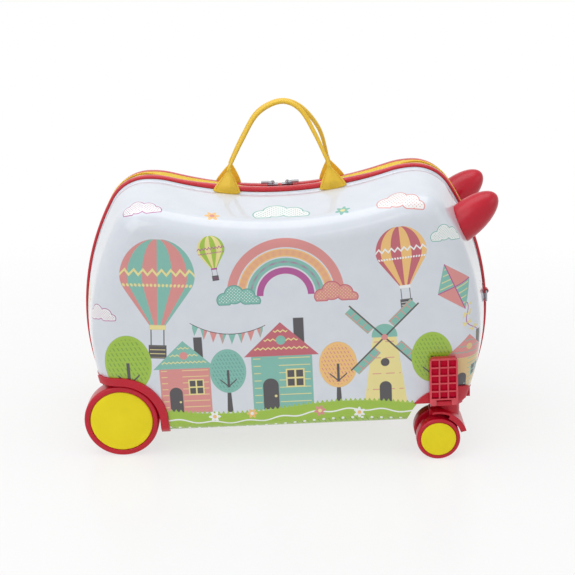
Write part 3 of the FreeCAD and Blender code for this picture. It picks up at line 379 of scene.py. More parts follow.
# %% Shared effects
def make_moulded_grain():
    """Fine noise as a height, and slow noise as a mottle from 0 to 1, both on Object coordinates."""
    tree, given, out = new_group(
        "moulded_grain", {"Grains": "Float"}, {"Height": "Float", "Mottle": "Float"})
    where = tree.nodes.new("ShaderNodeTexCoord").outputs["Object"]
    fine = new_node(tree, "TexNoise", Vector=where, Scale=given.outputs["Grains"], Detail=2.0)
    slow = new_node(tree, "TexNoise", Vector=where, Scale=38.0, Detail=3.0, Roughness=0.6)
    feed(tree, fine.outputs["Fac"], out.inputs["Height"])
    feed(tree, slow.outputs["Fac"], out.inputs["Mottle"])
    return tree


def make_weave():
    """Threads across and along: a cosine ridge each, shown where a chequer of cells lets it pass. The shade
    is half painted shade, dark between the threads and light on their crests, and half random tone.
    """
    tree, given, out = new_group(
        "weave", {"Threads": "Float"}, {"Height": "Float", "Shade": "Float"})
    scaled = new_node(tree, "VectorMath", "SCALE", Vector=flat_map(tree), Scale=given.outputs["Threads"])
    u, v, _ = split(tree, scaled.outputs["Vector"])
    ridge_u = (u * math.pi).math("SINE")
    ridge_v = (v * math.pi).math("SINE")
    turn = (ridge_u * ridge_v).math("SIGN") * 0.5 + 0.5
    height = abs(ridge_u) * turn + abs(ridge_v) * (1.0 - turn)
    uneven = new_node(tree, "TexNoise", Vector=scaled.outputs["Vector"], Scale=0.31, Detail=2.0)
    # Painted shade for half: the colour is darker where the threads sink and lighter on their crests; the
    # other half is random tone.
    shade = height * 0.5 + Field(tree, uneven.outputs["Fac"]) * 0.5
    feed(tree, height, out.inputs["Height"])
    feed(tree, shade, out.inputs["Shade"])
    return tree


MOULDED_GRAIN = make_moulded_grain()
WEAVE = make_weave()
print("effects:", MOULDED_GRAIN.name, WEAVE.name)

# %% [markdown]
# The moulded parts are crimson and lemon plastic with a satin gloss. Each finish mixes two near tones by
# the mottle, and lets the same mottle move the roughness, so that a highlight breaks up a little.

# %% Plastic finishes
BITE_STRENGTH, WEAVE_STRENGTH = 0.6, 0.8


def plastic(name, dark, light, rough, grains, bite, **plain):
    """A moulded plastic between two tones, with a roughness range and a bite in millimetres."""
    material, tree, shader = new_finish(name, **plain)
    grain = use_group(tree, MOULDED_GRAIN, Grains=grains)
    mottle = Field(tree, grain.outputs["Mottle"])
    feed(tree, blend_colour(tree, mottle, dark, light), shader.inputs["Base Color"])
    feed(tree, mottle * (rough[1] - rough[0]) + rough[0], shader.inputs["Roughness"])
    bumped(tree, shader, BITE_STRENGTH, bite, grain.outputs["Height"])
    return material


RED_PLASTIC = plastic("red_plastic", ink(184, 2, 34), ink(208, 14, 46), (0.24, 0.38), 2600.0, 0.02,
                      Specular_IOR_Level=0.38, Coat_Weight=0.12, Coat_Roughness=0.2)
RED_PIPING = plastic("red_piping", ink(188, 14, 34), ink(216, 36, 50), (0.22, 0.34), 900.0, 0.03,
                     Specular_IOR_Level=0.4, Coat_Weight=0.3, Coat_Roughness=0.16)
YELLOW_PLASTIC = plastic("yellow_plastic", ink(236, 216, 12), ink(250, 232, 30), (0.36, 0.5), 3200.0, 0.03,
                         Specular_IOR_Level=0.3)
YELLOW_COIL = plastic("yellow_coil", ink(248, 202, 40), ink(255, 222, 70), (0.4, 0.52), 1800.0, 0.02)
print("plastics:", RED_PLASTIC.name, RED_PIPING.name, YELLOW_PLASTIC.name, YELLOW_COIL.name)

# %% [markdown]
# Cloth is rough and has a sheen along its outline. The zip tape is a close yellow weave, the lining a
# plain grey one, the hinge a coarse herringbone-like tape; the straps are a smooth yellow coated cloth.

# %% Cloth and metal finishes
def cloth(name, dark, light, threads, lift, rough, **plain):
    """A woven finish: the weave's painted shade, darker between the threads, mixed with random tone, picks
    the colour, and its height lifts the threads.
    """
    material, tree, shader = new_finish(name, Roughness=rough, **plain)
    weave = use_group(tree, WEAVE, Threads=threads)
    feed(tree, blend_colour(tree, weave.outputs["Shade"], dark, light), shader.inputs["Base Color"])
    bumped(tree, shader, WEAVE_STRENGTH, lift, weave.outputs["Height"])
    return material


TAPE_CLOTH = cloth("tape_cloth", ink(244, 194, 30), ink(255, 230, 84), 1500.0, 0.15, 0.75,
                   Sheen_Weight=0.25, Sheen_Roughness=0.4)
LINING_CLOTH = cloth("lining_cloth", ink(96, 100, 110), ink(158, 162, 172), 1300.0, 0.2, 0.82,
                     Sheen_Weight=0.3, Sheen_Roughness=0.5)
HINGE_CLOTH = cloth("hinge_cloth", ink(196, 140, 20), ink(240, 196, 56), 800.0, 0.4, 0.8,
                    Sheen_Weight=0.25, Sheen_Roughness=0.4)
STRAP = cloth("strap_cloth", ink(224, 176, 26), ink(248, 208, 58), 1900.0, 0.02, 0.42,
              Sheen_Weight=0.15, Sheen_Roughness=0.35, Coat_Weight=0.2, Coat_Roughness=0.3)
THREAD = plastic("stitch_thread", ink(190, 122, 16), ink(216, 150, 34), (0.5, 0.65), 3000.0, 0.05)
STEEL = plastic("brushed_steel", ink(150, 151, 154), ink(186, 187, 190), (0.26, 0.42), 2200.0, 0.02,
                Metallic=1.0)
BRIGHT_METAL = plastic("bright_metal", ink(136, 136, 143), ink(190, 190, 196), (0.14, 0.26), 1800.0, 0.01,
                       Metallic=1.0)
print("cloth and metal:", TAPE_CLOTH.name, STRAP.name, STEEL.name, BRIGHT_METAL.name)

# %% [markdown]
# The outline of the case is a chain of tangent arcs: a belly line, a tight corner, a tall bowed end in
# two arcs, a shoulder, a hump, and a long shallow saddle between the humps. A smaller outline further
# into the case keeps the same centres and changes only the radii, so all outlines share their columns.

# %% The outline of the case
LENGTH = 465.0
FACE = 105.0
HUMP_X = 150.0
HUMP_Z = 310.5
SADDLE_Z = 289.0
WIDEST_Z = 140.0
HUMP_R = 100.0
SHOULDER_R = 48.0
LOWER_R = 240.0
CORNER_R = 50.0
HINGE_HALF = 131.0
RISE = HUMP_Z - SADDLE_Z
SADDLE_R = (HUMP_X ** 2 + RISE ** 2) / (2 * RISE) - HUMP_R
RUN = LENGTH / 2 - HUMP_X
FALL = HUMP_Z - SHOULDER_R - WIDEST_Z
UPPER_R = (RUN ** 2 + FALL ** 2 - SHOULDER_R ** 2) / (2 * (RUN - SHOULDER_R))
HINGE_COLUMNS, BELLY_COLUMNS, CORNER_COLUMNS, LOWER_COLUMNS = 14, 6, 14, 16
UPPER_COLUMNS, SHOULDER_COLUMNS, HUMP_COLUMNS, SADDLE_COLUMNS = 20, 20, 12, 26


def arc(x, z, radius, start, stop, count):
    """Points on circles round (x, z) from one angle towards another, the last left out."""
    angle = start + (stop - start) * np.arange(count) / count
    return np.stack(np.broadcast_arrays(x + radius * np.cos(angle), z + radius * np.sin(angle)), -1)


def outline(inset, belly_inset):
    """Closed outlines (rows, columns, x and z), each shrunk by an inset, with its own inset at the belly.
    Convex radii lose the inset, the saddle's gains it; the belly corner stays tangent to both its sides.
    Column 0 is the middle of the belly; the columns go round by the front end, the saddle and the rear."""
    inset = np.reshape(np.asarray(inset, float), (-1, 1))
    floor = BELLY_Z + np.reshape(np.asarray(belly_inset, float), (-1, 1))
    corner = CORNER_R - inset
    lower_x = LENGTH / 2 - LOWER_R
    upper_x = LENGTH / 2 - UPPER_R
    drop = WIDEST_Z - floor - corner
    corner_x = lower_x + np.sqrt((LOWER_R - CORNER_R) ** 2 - drop ** 2)
    turn = np.arctan2(-drop, corner_x - lower_x)
    brow = math.atan2(FALL, HUMP_X - upper_x)
    crest = math.atan2(SADDLE_Z + SADDLE_R - HUMP_Z + HUMP_R, -HUMP_X)
    first = HINGE_HALF * np.arange(HINGE_COLUMNS) / HINGE_COLUMNS
    second = HINGE_HALF + (corner_x - HINGE_HALF) * np.arange(BELLY_COLUMNS) / BELLY_COLUMNS
    right = np.concatenate([
        np.stack(np.broadcast_arrays(first, floor), -1),
        np.stack(np.broadcast_arrays(second, floor), -1),
        arc(corner_x, floor + corner, corner, -math.pi / 2, turn, CORNER_COLUMNS),
        arc(lower_x, WIDEST_Z, LOWER_R - inset, turn, 0.0, LOWER_COLUMNS),
        arc(upper_x, WIDEST_Z, UPPER_R - inset, 0.0, brow, UPPER_COLUMNS),
        arc(HUMP_X, HUMP_Z - SHOULDER_R, SHOULDER_R - inset, brow, math.pi / 2, SHOULDER_COLUMNS),
        arc(HUMP_X, HUMP_Z - HUMP_R, HUMP_R - inset, math.pi / 2, crest, HUMP_COLUMNS),
        arc(0.0, SADDLE_Z + SADDLE_R, SADDLE_R + inset, crest - math.pi, -math.pi / 2, SADDLE_COLUMNS),
    ], 1)
    middle = np.stack([0 * inset, SADDLE_Z - inset], -1)
    return np.concatenate([right, middle, right[:, :0:-1] * (-1, 1)], 1)


COLUMNS = outline(0, 0).shape[1]
print("outline: %d columns, saddle radius %.1f mm, upper end radius %.1f mm" % (COLUMNS, SADDLE_R, UPPER_R))

# %% [markdown]
# From the rim to the face a half shell is a wall: a neck behind the piping, a soft ridge, a straight
# drafted stretch and a large quarter round. The ends and the top lean by 13 degrees, the belly hardly at
# all, so each row holds two insets. A skin inside another is the same wall moved in by an offset.

# %% The wall of a half shell
SHELL_WALL = 2.0
FACE_ROUND = 28.0
BELLY_ROUND = 14.0
DRAFT = math.radians(13)
BELLY_DRAFT = math.radians(1.5)
RIDGE_Y = 29.5
RIDGE_INSET = 3.4
MIDDLE_Z = 165.0
CROWN = 1.0
NECK_STEPS, WALL_ROWS, ROUND_ROWS, FACE_RINGS = 3, 9, 22, 14
NECK_END = 38.0
LIP_INSET, LIP_ROWS = 4.72, (0.0, 12.0)
NECK = np.array([
    (18.5, 2.9, 2.5), (18.9, 4.5, 4.0), (20.3, 5.4, 4.72), (22.0, 5.5, 4.72),
    (24.5, 5.1, 4.15), (27.5, 4.65, 3.6), (30.5, 4.55, 3.45), (34.0, 4.75, 3.52), (NECK_END, 5.36, 3.62),
])


def wall_inset(y, draft, bend, offset):
    """A straight wall leaning by the draft, then an arc tangent to it that ends square to the face."""
    foot = RIDGE_INSET + (FACE - bend + bend * math.sin(draft) - RIDGE_Y) * math.tan(draft)
    centre = foot + bend * math.cos(draft)
    radius = bend - offset
    line = RIDGE_INSET + (y - RIDGE_Y) * math.tan(draft) + offset / math.cos(draft)
    round_over = centre - np.sqrt(np.clip(radius ** 2 - (y - FACE + bend) ** 2, 0, None))
    return np.where(y < FACE - bend + radius * math.sin(draft), line, round_over)


def wall_rows(offset):
    """Rows of (distance from the zip, inset, belly inset) from the rim to the edge of the face."""
    neck = smooth_line(NECK, NECK_STEPS)[:-NECK_STEPS]
    angle = np.linspace(DRAFT, math.pi / 2, ROUND_ROWS)
    straight = np.linspace(NECK_END, FACE - FACE_ROUND, WALL_ROWS)
    y = np.concatenate([straight, FACE - FACE_ROUND + (FACE_ROUND - offset) * np.sin(angle)])
    ends = wall_inset(y, DRAFT, FACE_ROUND, offset)
    belly = wall_inset(y, BELLY_DRAFT, BELLY_ROUND, offset)
    if offset:
        lip = [(level, LIP_INSET, LIP_INSET) for level in LIP_ROWS]
        neck = np.vstack([lip, neck[neck[:, 0] > NECK[0, 0] + 0.1]])
    return np.vstack([neck + (0, offset, offset), np.stack([y, ends, belly], -1)])


def half_solid(name, offset):
    """The closed solid inside a half shell's skin: the wall rows, then rings that shrink to the middle of
    a face crowned by one millimetre. The flat map unfolds the wall outwards from the edge of the face."""
    rows = wall_rows(offset)
    ring = outline(rows[:, 1], rows[:, 2])
    steps = np.diff(rows, axis=0)
    ends_run = np.append(np.cumsum(np.hypot(steps[:, 0], steps[:, 1])[::-1])[::-1], 0)
    belly_run = np.append(np.cumsum(np.hypot(steps[:, 0], steps[:, 2])[::-1])[::-1], 0)
    spread = outline(rows[-1, 1] - ends_run, rows[-1, 2] - belly_run)
    wall = deep(ring, rows[:, :1])
    middle = np.array([0.0, MIDDLE_Z])
    t = np.linspace(0, 1, FACE_RINGS + 1)[1:, None, None]
    inner = middle + (ring[-1:] - middle) * (1 - t)
    face = deep(inner, rows[-1, 0] + CROWN * eased(t)[..., 0])
    pole = np.broadcast_to([0.0, rows[0, 0], MIDDLE_Z], (1, COLUMNS, 3))
    grid = np.concatenate([pole, wall, face])
    faces, places = round_quads(grid)
    flat = flat_of(np.concatenate([spread[:1], spread, inner]), places)
    return mesh_of(name, standing(grid * (1, -1, 1)), faces, flat)


print("wall rows:", len(wall_rows(0.0)), "outside,", len(wall_rows(SHELL_WALL)), "inside")

# %% [markdown]
# Two pockets are let into each half shell: one under the arch of the rear wheel, open behind, and one
# over the caster. A sheet of even thickness with pockets is hard to write as one grid. The plain way is
# to subtract: the skin's solid without the pockets, less the inner solid without slightly larger ones.

# %% Pockets and sheets
REAR_X, REAR_Z, REAR_ARCH, REAR_POCKET = -189.5, 50.0, 53.5, 66.0
FRONT_X, FRONT_Z, FRONT_ARCH, FRONT_POCKET = 181.0, 22.0, 52.0, 43.0
REAR_STEPS, FRONT_STEPS = 33, 61
BESIDE, BEHIND, BELOW = 150.0, -275.0, -31.0
SHEET_CREASE, PART_CREASE, SOLID_CREASE = 40, 50, 30


def pocket_block(name, x, z, radius, turn, steps, rest, depth):
    """A straight block from a depth to well outside the case. Its outline is an arch round (x, z) of so
    much of a turn, closed by the rest of the points."""
    angle = np.linspace(0, turn, steps)
    arch = np.stack([x + radius * np.cos(angle), z + radius * np.sin(angle)], -1)
    ring = np.vstack([arch, rest])
    y = np.array([depth, depth, BESIDE, BESIDE])[:, None]
    rings = np.where(closed_ends(4)[..., None] > 0, ring, ring.mean(0))
    grid = deep(rings, y)
    faces, places = round_quads(grid)
    return mesh_of(name, standing(grid * (1, -1, 1)), faces, flat_of(rings, places))


def pocket_blocks(extra):
    """The room under the rear arch, a quarter circle ahead of the wheel and level to the rear end, and the
    room over the caster, a half circle that is open below."""
    rear, front = REAR_ARCH + extra, FRONT_ARCH + extra
    rear_rest = [(BEHIND, REAR_Z + rear), (BEHIND, BELOW), (REAR_X + rear, BELOW)]
    front_rest = [(FRONT_X - front, BELOW), (FRONT_X + front, BELOW)]
    return [pocket_block("rear_block", REAR_X, REAR_Z, rear, math.pi / 2, REAR_STEPS, rear_rest,
                         REAR_POCKET - extra),
            pocket_block("front_block", FRONT_X, FRONT_Z, front, math.pi, FRONT_STEPS, front_rest,
                         FRONT_POCKET - extra)]


def carved(mesh, tools):
    """The mesh after each tool mesh has been subtracted from it."""
    things = [linked(m.name, m) for m in [mesh] + tools]
    for tool in things[1:]:
        cut = things[0].modifiers.new(tool.name, "BOOLEAN")
        cut.operation = "DIFFERENCE"
        cut.solver = "EXACT"
        cut.object = tool
    graph = bpy.context.evaluated_depsgraph_get()
    made = bpy.data.meshes.new_from_object(things[0].evaluated_get(graph))
    name = mesh.name
    for thing in things:
        bpy.data.objects.remove(thing)
    for used in [mesh] + tools:
        bpy.data.meshes.remove(used)
    made.name = name
    made.shade_smooth()
    return made


def half_sheet(name, offset, thickness):
    """A sheet of even thickness that follows the half shell and its two pockets."""
    outside, inside = (carved(half_solid(label, inset), pocket_blocks(inset))
                       for label, inset in ((name, offset), ("inside", offset + thickness)))
    return carved(outside, [inside])


def mirrored(mesh, name):
    """A copy of a near mesh on the far side, with its faces turned outwards again."""
    twin = mesh.copy()
    twin.name = name
    points = np.empty(len(twin.vertices) * 3, np.float32)
    twin.vertices.foreach_get("co", points)
    twin.vertices.foreach_set("co", (points.reshape(-1, 3) * (1, -1, 1)).ravel())
    twin.flip_normals()
    twin.update()
    return twin


def on_both_halves(mesh, finish, slot, node, crease):
    """A near mesh and its mirror image, each on its own half."""
    pieces = []
    for side, sign in SIDES.items():
        half = mesh if sign < 0 else mirrored(mesh, mesh.name.replace("near_", side))
        pieces.append(place(half, finish, side + "half", slot, [side + node], crease))
    return pieces


near_sheet = half_sheet("near_printed_shell", 0.0, SHELL_WALL)
print("half shell:", len(near_sheet.polygons), "faces")

# %% [markdown]
# The shells carry a cheerful village print: houses, trees and a windmill on a green ground, with
# balloons, kites and clouds above. Each motif is a small picture made of flat shapes laid over each
# other. A shape is a signed distance in millimetres, negative inside, so shapes can be joined or trimmed
# with minimum and maximum, and its edge stays crisp however close the camera comes.

# %% Pictures made of flat shapes
class Picture:
    """A node group with X and Z in millimetres going in, and a colour and a mask coming out."""

    def __init__(self, name, *colours):
        sockets = {"X": "Float", "Z": "Float"}
        sockets.update({colour: "Color" for colour in colours})
        self.tree, self.given, self.out = new_group(name, sockets, {"Colour": "Color", "Mask": "Float"})
        self.x = Field(self.tree, self.given.outputs["X"])
        self.z = Field(self.tree, self.given.outputs["Z"])
        self.spot = new_node(self.tree, "CombineXYZ", X=self.x, Y=self.z).outputs["Vector"]
        self.colour = None
        self.mask = None

    def disc(self, x, z, radius):
        """Distance to a point less the radius."""
        reach = new_node(self.tree, "VectorMath", "DISTANCE", Vector=self.spot)
        reach.inputs[1].default_value = (x, z, 0.0)
        return Field(self.tree, reach.outputs["Value"]) - radius

    def box(self, x, z, half_x, half_z):
        """The larger of the distances past a half width and past a half height."""
        return within(abs(self.x - x) - half_x, abs(self.z - z) - half_z)

    def paint(self, shape, colour):
        """Lays a colour over what is there where the shape is negative, soft over a third of a millimetre."""
        inside = shape.math("MULTIPLY_ADD", -3.0, 0.5, clamp=True)
        colour = self.given.outputs[colour]
        self.colour = colour if self.colour is None else blend_colour(self.tree, inside, self.colour, colour)
        self.mask = inside if self.mask is None else self.mask.math("MAXIMUM", inside)

    def done(self):
        """Feeds the outputs and gives the finished group."""
        feed(self.tree, self.colour, self.out.inputs["Colour"])
        feed(self.tree, self.mask, self.out.inputs["Mask"])
        return self.tree


def within(first, *others):
    """The part that all the shapes share."""
    for other in others:
        first = first.math("MAXIMUM", other)
    return first


def either(first, *others):
    """All the shapes together."""
    for other in others:
        first = first.math("MINIMUM", other)
    return first


def wave(field, step):
    """A zigzag that climbs from 0 to the step and falls back, over and over."""
    return field.math("PINGPONG", step)


def reach_of(u, v):
    """The distance from where both numbers are zero."""
    return (u * u + v * v).math("SQRT")


print("picture helpers ready")

# %% [markdown]
# The buildings: a house with a scalloped roof, a door and a window, and a windmill with four lattice
# sails. Colours come in through the group's sockets, so one drawing gives houses of several colours.

# %% House and windmill
DIAGONAL = 0.7071


def draw_house():
    """Walls 40 wide and 40 tall, a gabled roof with rows of scallops, a chimney, a door and a window."""
    house = Picture("print_house", "Wall", "Roof", "Trim", "Door")
    house.paint(house.box(12.0, 55.0, 3.4, 9.0), "Door")
    house.paint(house.box(0.0, 20.0, 20.0, 20.0), "Wall")
    planks = wave(house.z, 2.6) - 0.28
    house.paint(within(planks, house.box(0.0, 20.0, 18.6, 18.6), 6.0 - abs(house.x + 8.0)), "Trim")
    gable = within(abs(house.x) + house.z * 1.05 - 64.5, 38.0 - house.z)
    house.paint(gable, "Roof")
    rows = wave(house.z - 38.0 + abs(wave(house.x, 3.4) - 1.7) * 0.8, 3.0) - 0.45
    house.paint(within(rows, gable + 1.6), "Trim")
    house.paint(either(house.box(-8.0, 8.5, 5.2, 8.5), house.disc(-8.0, 17.0, 5.2)), "Door")
    house.paint(house.disc(-4.9, 9.5, 0.9), "Trim")
    house.paint(house.box(8.5, 22.0, 6.2, 6.6), "Trim")
    panes = within(house.box(8.5, 22.0, 5.2, 5.6), 0.6 - abs(house.x - 8.5), 0.6 - abs(house.z - 22.0))
    house.paint(panes, "Door")
    house.paint(house.disc(0.0, 49.0, 3.2), "Wall")
    return house.done()


def draw_windmill():
    """A tapered tower with a cap and a door, and four sails: thin arms with a lattice along one side."""
    mill = Picture("print_windmill", "Wall", "Roof", "Trim", "Door")
    tower = within(abs(mill.x) + mill.z * 0.14 - 18.0, 0.0 - mill.z, mill.z - 62.0)
    mill.paint(tower, "Wall")
    courses = within(wave(mill.z, 7.0) - 0.35, tower + 1.2, wave(mill.x + 40.0, 5.5) - 3.6)
    mill.paint(courses, "Trim")
    mill.paint(within(mill.disc(0.0, 61.0, 10.6), 60.0 - mill.z), "Roof")
    mill.paint(either(mill.box(0.0, 8.0, 5.0, 8.0), mill.disc(0.0, 16.0, 5.0)), "Door")
    mill.paint(mill.disc(0.0, 38.0, 3.6), "Door")
    rise = mill.z - 60.0
    along = (mill.x + rise) * DIAGONAL
    across = (rise - mill.x) * DIAGONAL
    arms = either(within(abs(across) - 0.7, abs(along) - 40.0), within(abs(along) - 0.7, abs(across) - 40.0))
    cloth = either(within(abs(abs(along) - 25.0) - 13.0, abs(across * along.math("SIGN") - 4.0) - 3.4),
                   within(abs(abs(across) - 25.0) - 13.0, abs(along * across.math("SIGN") + 4.0) - 3.4))
    mill.paint(cloth, "Roof")
    bars = either(*(within(wave(way, 3.2) - 0.4, 3.0 - abs(way)) for way in (along, across)))
    mill.paint(within(cloth + 0.6, bars), "Trim")
    mill.paint(arms, "Door")
    mill.paint(mill.disc(0.0, 60.0, 2.6), "Trim")
    return mill.done()


HOUSE = draw_house()
WINDMILL = draw_windmill()
print("buildings:", len(HOUSE.nodes), "and", len(WINDMILL.nodes), "nodes")

# %% [markdown]
# What flies: a balloon whose gores narrow with its outline, and a kite with a bowed tail.

# %% Balloon and kite
def draw_balloon():
    """Half width: an ellipse above, a straight taper below. Gores are equal shares of that half width."""
    balloon = Picture("print_balloon", "Cloth", "Gore", "Trim", "Basket")
    top = balloon.z.math("MAXIMUM", 0.0) / 32.0
    dome = (1.0 - top * top).math("MAXIMUM", 0.0).math("SQRT") * 30.0
    half = dome.math("SMOOTH_MIN", balloon.z * 0.66 + 33.0, 6.0)
    bag = within(abs(balloon.x) - half, -41.0 - balloon.z, balloon.z - 31.5)
    ropes = within(abs(abs(balloon.x) - 5.2) - 0.45, abs(balloon.z + 50.0) - 9.5)
    balloon.paint(ropes, "Basket")
    balloon.paint(bag, "Cloth")
    share = balloon.x / half.math("MAXIMUM", 1.0)
    gores = (wave(share * 2.5 + 10.5, 1.0) - 0.5) * 12.0
    balloon.paint(within(bag, gores), "Gore")
    belt = abs(balloon.z - 2.0 - wave(share * 40.0 + 80.0, 5.0) * 0.9) - 1.3
    balloon.paint(within(belt, bag), "Trim")
    beads = reach_of(wave(share * 36.0 + 72.0, 4.0) - 2.0, balloon.z + 6.5) - 1.35
    balloon.paint(within(beads, bag), "Trim")
    balloon.paint(balloon.box(0.0, -42.0, 6.6, 2.0), "Trim")
    crate = balloon.box(0.0, -63.0, 7.2, 5.8)
    balloon.paint(crate, "Basket")
    balloon.paint(within(crate + 1.0, wave(balloon.z, 1.7) - 0.3), "Trim")
    return balloon.done()


def draw_kite():
    """A diamond in four quarters, crossed by its sticks, with a wavy tail and small bows."""
    kite = Picture("print_kite", "Cloth", "Gore", "Trim", "Basket")
    beside = abs(kite.x - (kite.z * 0.2).math("SINE") * 4.0)
    below = abs(kite.z + 50.0)
    kite.paint(within(beside - 0.45, below - 30.0), "Basket")
    knot = wave(kite.z + 60.0, 8.0) - 4.0
    kite.paint(within(abs(knot) - beside * 0.6 - 0.2, beside - 4.2, below - 26.0), "Trim")
    sail = (abs(kite.x) / 17.0 + abs(kite.z + 3.0) / 24.0 - 1.0) * 13.0
    kite.paint(sail, "Cloth")
    quarter = (kite.x * (kite.z + 3.0)) * -0.2
    kite.paint(within(sail, quarter), "Gore")
    stripes = within(wave(kite.z, 2.6) - 0.4, sail + 1.4, 0.0 - quarter)
    kite.paint(stripes, "Trim")
    kite.paint(within(sail, either(abs(kite.x) - 0.5, abs(kite.z + 3.0) - 0.5)), "Basket")
    return kite.done()


BALLOON = draw_balloon()
KITE = draw_kite()
print("flying things:", len(BALLOON.nodes), "and", len(KITE.nodes), "nodes")

# %% [markdown]
# The rest of the village: round trees with leaf ticks, flat-bottomed clouds, a rainbow, little flowers,
# a string of pennants, and the ground with its grass.

# %% Trees, clouds, rainbow, flowers, pennants and ground
def draw_tree():
    """A trunk with two boughs, an oval crown, and rows of upright ticks in it."""
    tree = Picture("print_tree", "Leaf", "Tick", "Trunk")
    tree.paint(within(abs(tree.x) + tree.z * 0.05 - 2.8, abs(tree.z - 16.0) - 17.0), "Trunk")
    crown = ((tree.x * tree.x / 1.2 + (tree.z - 42.0) * (tree.z - 42.0) / 2.0).math("SQRT") - 16.0) * 1.1
    tree.paint(crown, "Leaf")
    row = wave(tree.z, 4.0) - 2.0
    ticks = within(abs(wave(tree.x + tree.z * 0.5, 3.2) - 1.6) - 0.5, abs(row) - 1.3)
    tree.paint(within(ticks, crown + 2.2), "Tick")
    boughs = within(abs(abs(tree.x) * 0.9 - tree.z + 26.0) - 0.8, abs(tree.x) - 8.0)
    tree.paint(either(boughs, within(abs(tree.x) - 1.2, abs(tree.z - 34.0) - 9.0)), "Trunk")
    return tree.done()


def draw_cloud():
    """Four puffs cut level below; an edge line, a fill, and dots in the fill."""
    cloud = Picture("print_cloud", "Line", "Fill", "Dot")
    puffs = either(cloud.disc(-15.0, -1.0, 8.5), cloud.disc(-4.0, 5.0, 11.0), cloud.disc(10.0, 2.0, 9.5),
                   cloud.disc(19.0, -3.0, 6.0))
    shape = within(puffs, -7.0 - cloud.z)
    cloud.paint(shape, "Line")
    cloud.paint(shape + 1.1, "Fill")
    dots = reach_of(wave(cloud.x + cloud.z, 3.6) - 1.8, wave(cloud.x - cloud.z, 3.6) - 1.8) - 0.75
    cloud.paint(within(dots, shape + 2.4), "Dot")
    return cloud.done()


def draw_rainbow():
    """Four half rings, with ticks across the second and dots along the last."""
    bow = Picture("print_rainbow", "First", "Second", "Third", "Fourth")
    reach = bow.disc(0.0, 0.0, 0.0)
    foot = 0.0 - bow.z
    rings = (42.0, 3.6, "First"), (34.2, 3.2, "Second"), (26.8, 3.2, "Third"), (19.8, 2.6, "Fourth")
    for radius, half, colour in rings:
        bow.paint(within(abs(reach - radius) - half, foot), colour)
    turn = bow.z.math("ARCTAN2", bow.x)
    bow.paint(within(wave(turn, 0.075) - 0.016, abs(reach - 34.2) - 2.2, foot), "First")
    bow.paint(within(wave(turn, 0.16) - 0.05, abs(reach - 26.8) - 0.7, foot), "Fourth")
    return bow.done()


def draw_flower():
    """Petals as a radius that swings six times in a turn, with a round heart."""
    flower = Picture("print_flower", "Petal", "Heart")
    reach = flower.disc(0.0, 0.0, 0.0)
    turn = flower.z.math("ARCTAN2", flower.x)
    flower.paint(reach - (turn * 6.0).math("COSINE") * 1.6 - 6.0, "Petal")
    flower.paint(flower.disc(0.0, 0.0, 2.4), "Heart")
    return flower.done()


def draw_pennants():
    """A sagging string; below it one pointed pennant in each cell of the string, in two colours in turn."""
    line = Picture("print_pennants", "String", "Cloth", "Gore")
    drop = line.z - line.x * line.x * 0.006
    ends = abs(line.x) - 46.0
    cell = wave(line.x + 92.0, 11.5)
    flag = within(abs(cell - 5.75) - 4.6 - drop * 0.34, drop, ends + 3.0)
    line.paint(flag, "Cloth")
    line.paint(within(flag, (wave(line.x + 92.0 - 5.75, 23.0) - 11.5) * 6.0), "Gore")
    line.paint(within(abs(drop) - 0.5, ends), "String")
    return line.done()


def draw_ground():
    """Everything under a gentle wave, with grass ticks, dots and a paler rolling band."""
    ground = Picture("print_ground", "Grass", "Blade", "White")
    hill = ground.z - (ground.x / 34.0).math("SINE") * 4.0
    ground.paint(hill, "Grass")
    ground.paint(within(abs(hill + 9.0 + (ground.x / 5.0).math("SINE") * 1.2) - 0.7, hill), "White")
    row = wave(hill + 60.0, 9.0) - 4.5
    blade = within(abs(wave(ground.x + row * 0.5, 5.0) - 2.5) - 0.5, abs(row) - 2.6, hill + 13.0)
    ground.paint(blade, "Blade")
    dots = reach_of(wave(ground.x, 9.0) - 4.5, wave(hill + 4.0, 9.0) - 4.5) - 1.4
    ground.paint(within(dots, hill + 12.0), "White")
    fringe = within(wave(ground.x, 2.2) * 1.6 + hill - 2.6, 0.0 - hill)
    ground.paint(fringe, "Grass")
    return ground.done()


TREE, CLOUD, RAINBOW = draw_tree(), draw_cloud(), draw_rainbow()
FLOWER, PENNANTS, GROUND = draw_flower(), draw_pennants(), draw_ground()
print("village:", [len(g.nodes) for g in (TREE, CLOUD, RAINBOW, FLOWER, PENNANTS, GROUND)], "nodes")

# %% [markdown]
# The layout is a plain table: a drawing, its place on the unfolded film in millimetres, its size, its
# tilt in degrees, and its colours in the order of its sockets. Later rows lie over earlier ones. The
# palette is soft: teal, rose, lime, cream, orange and charcoal.

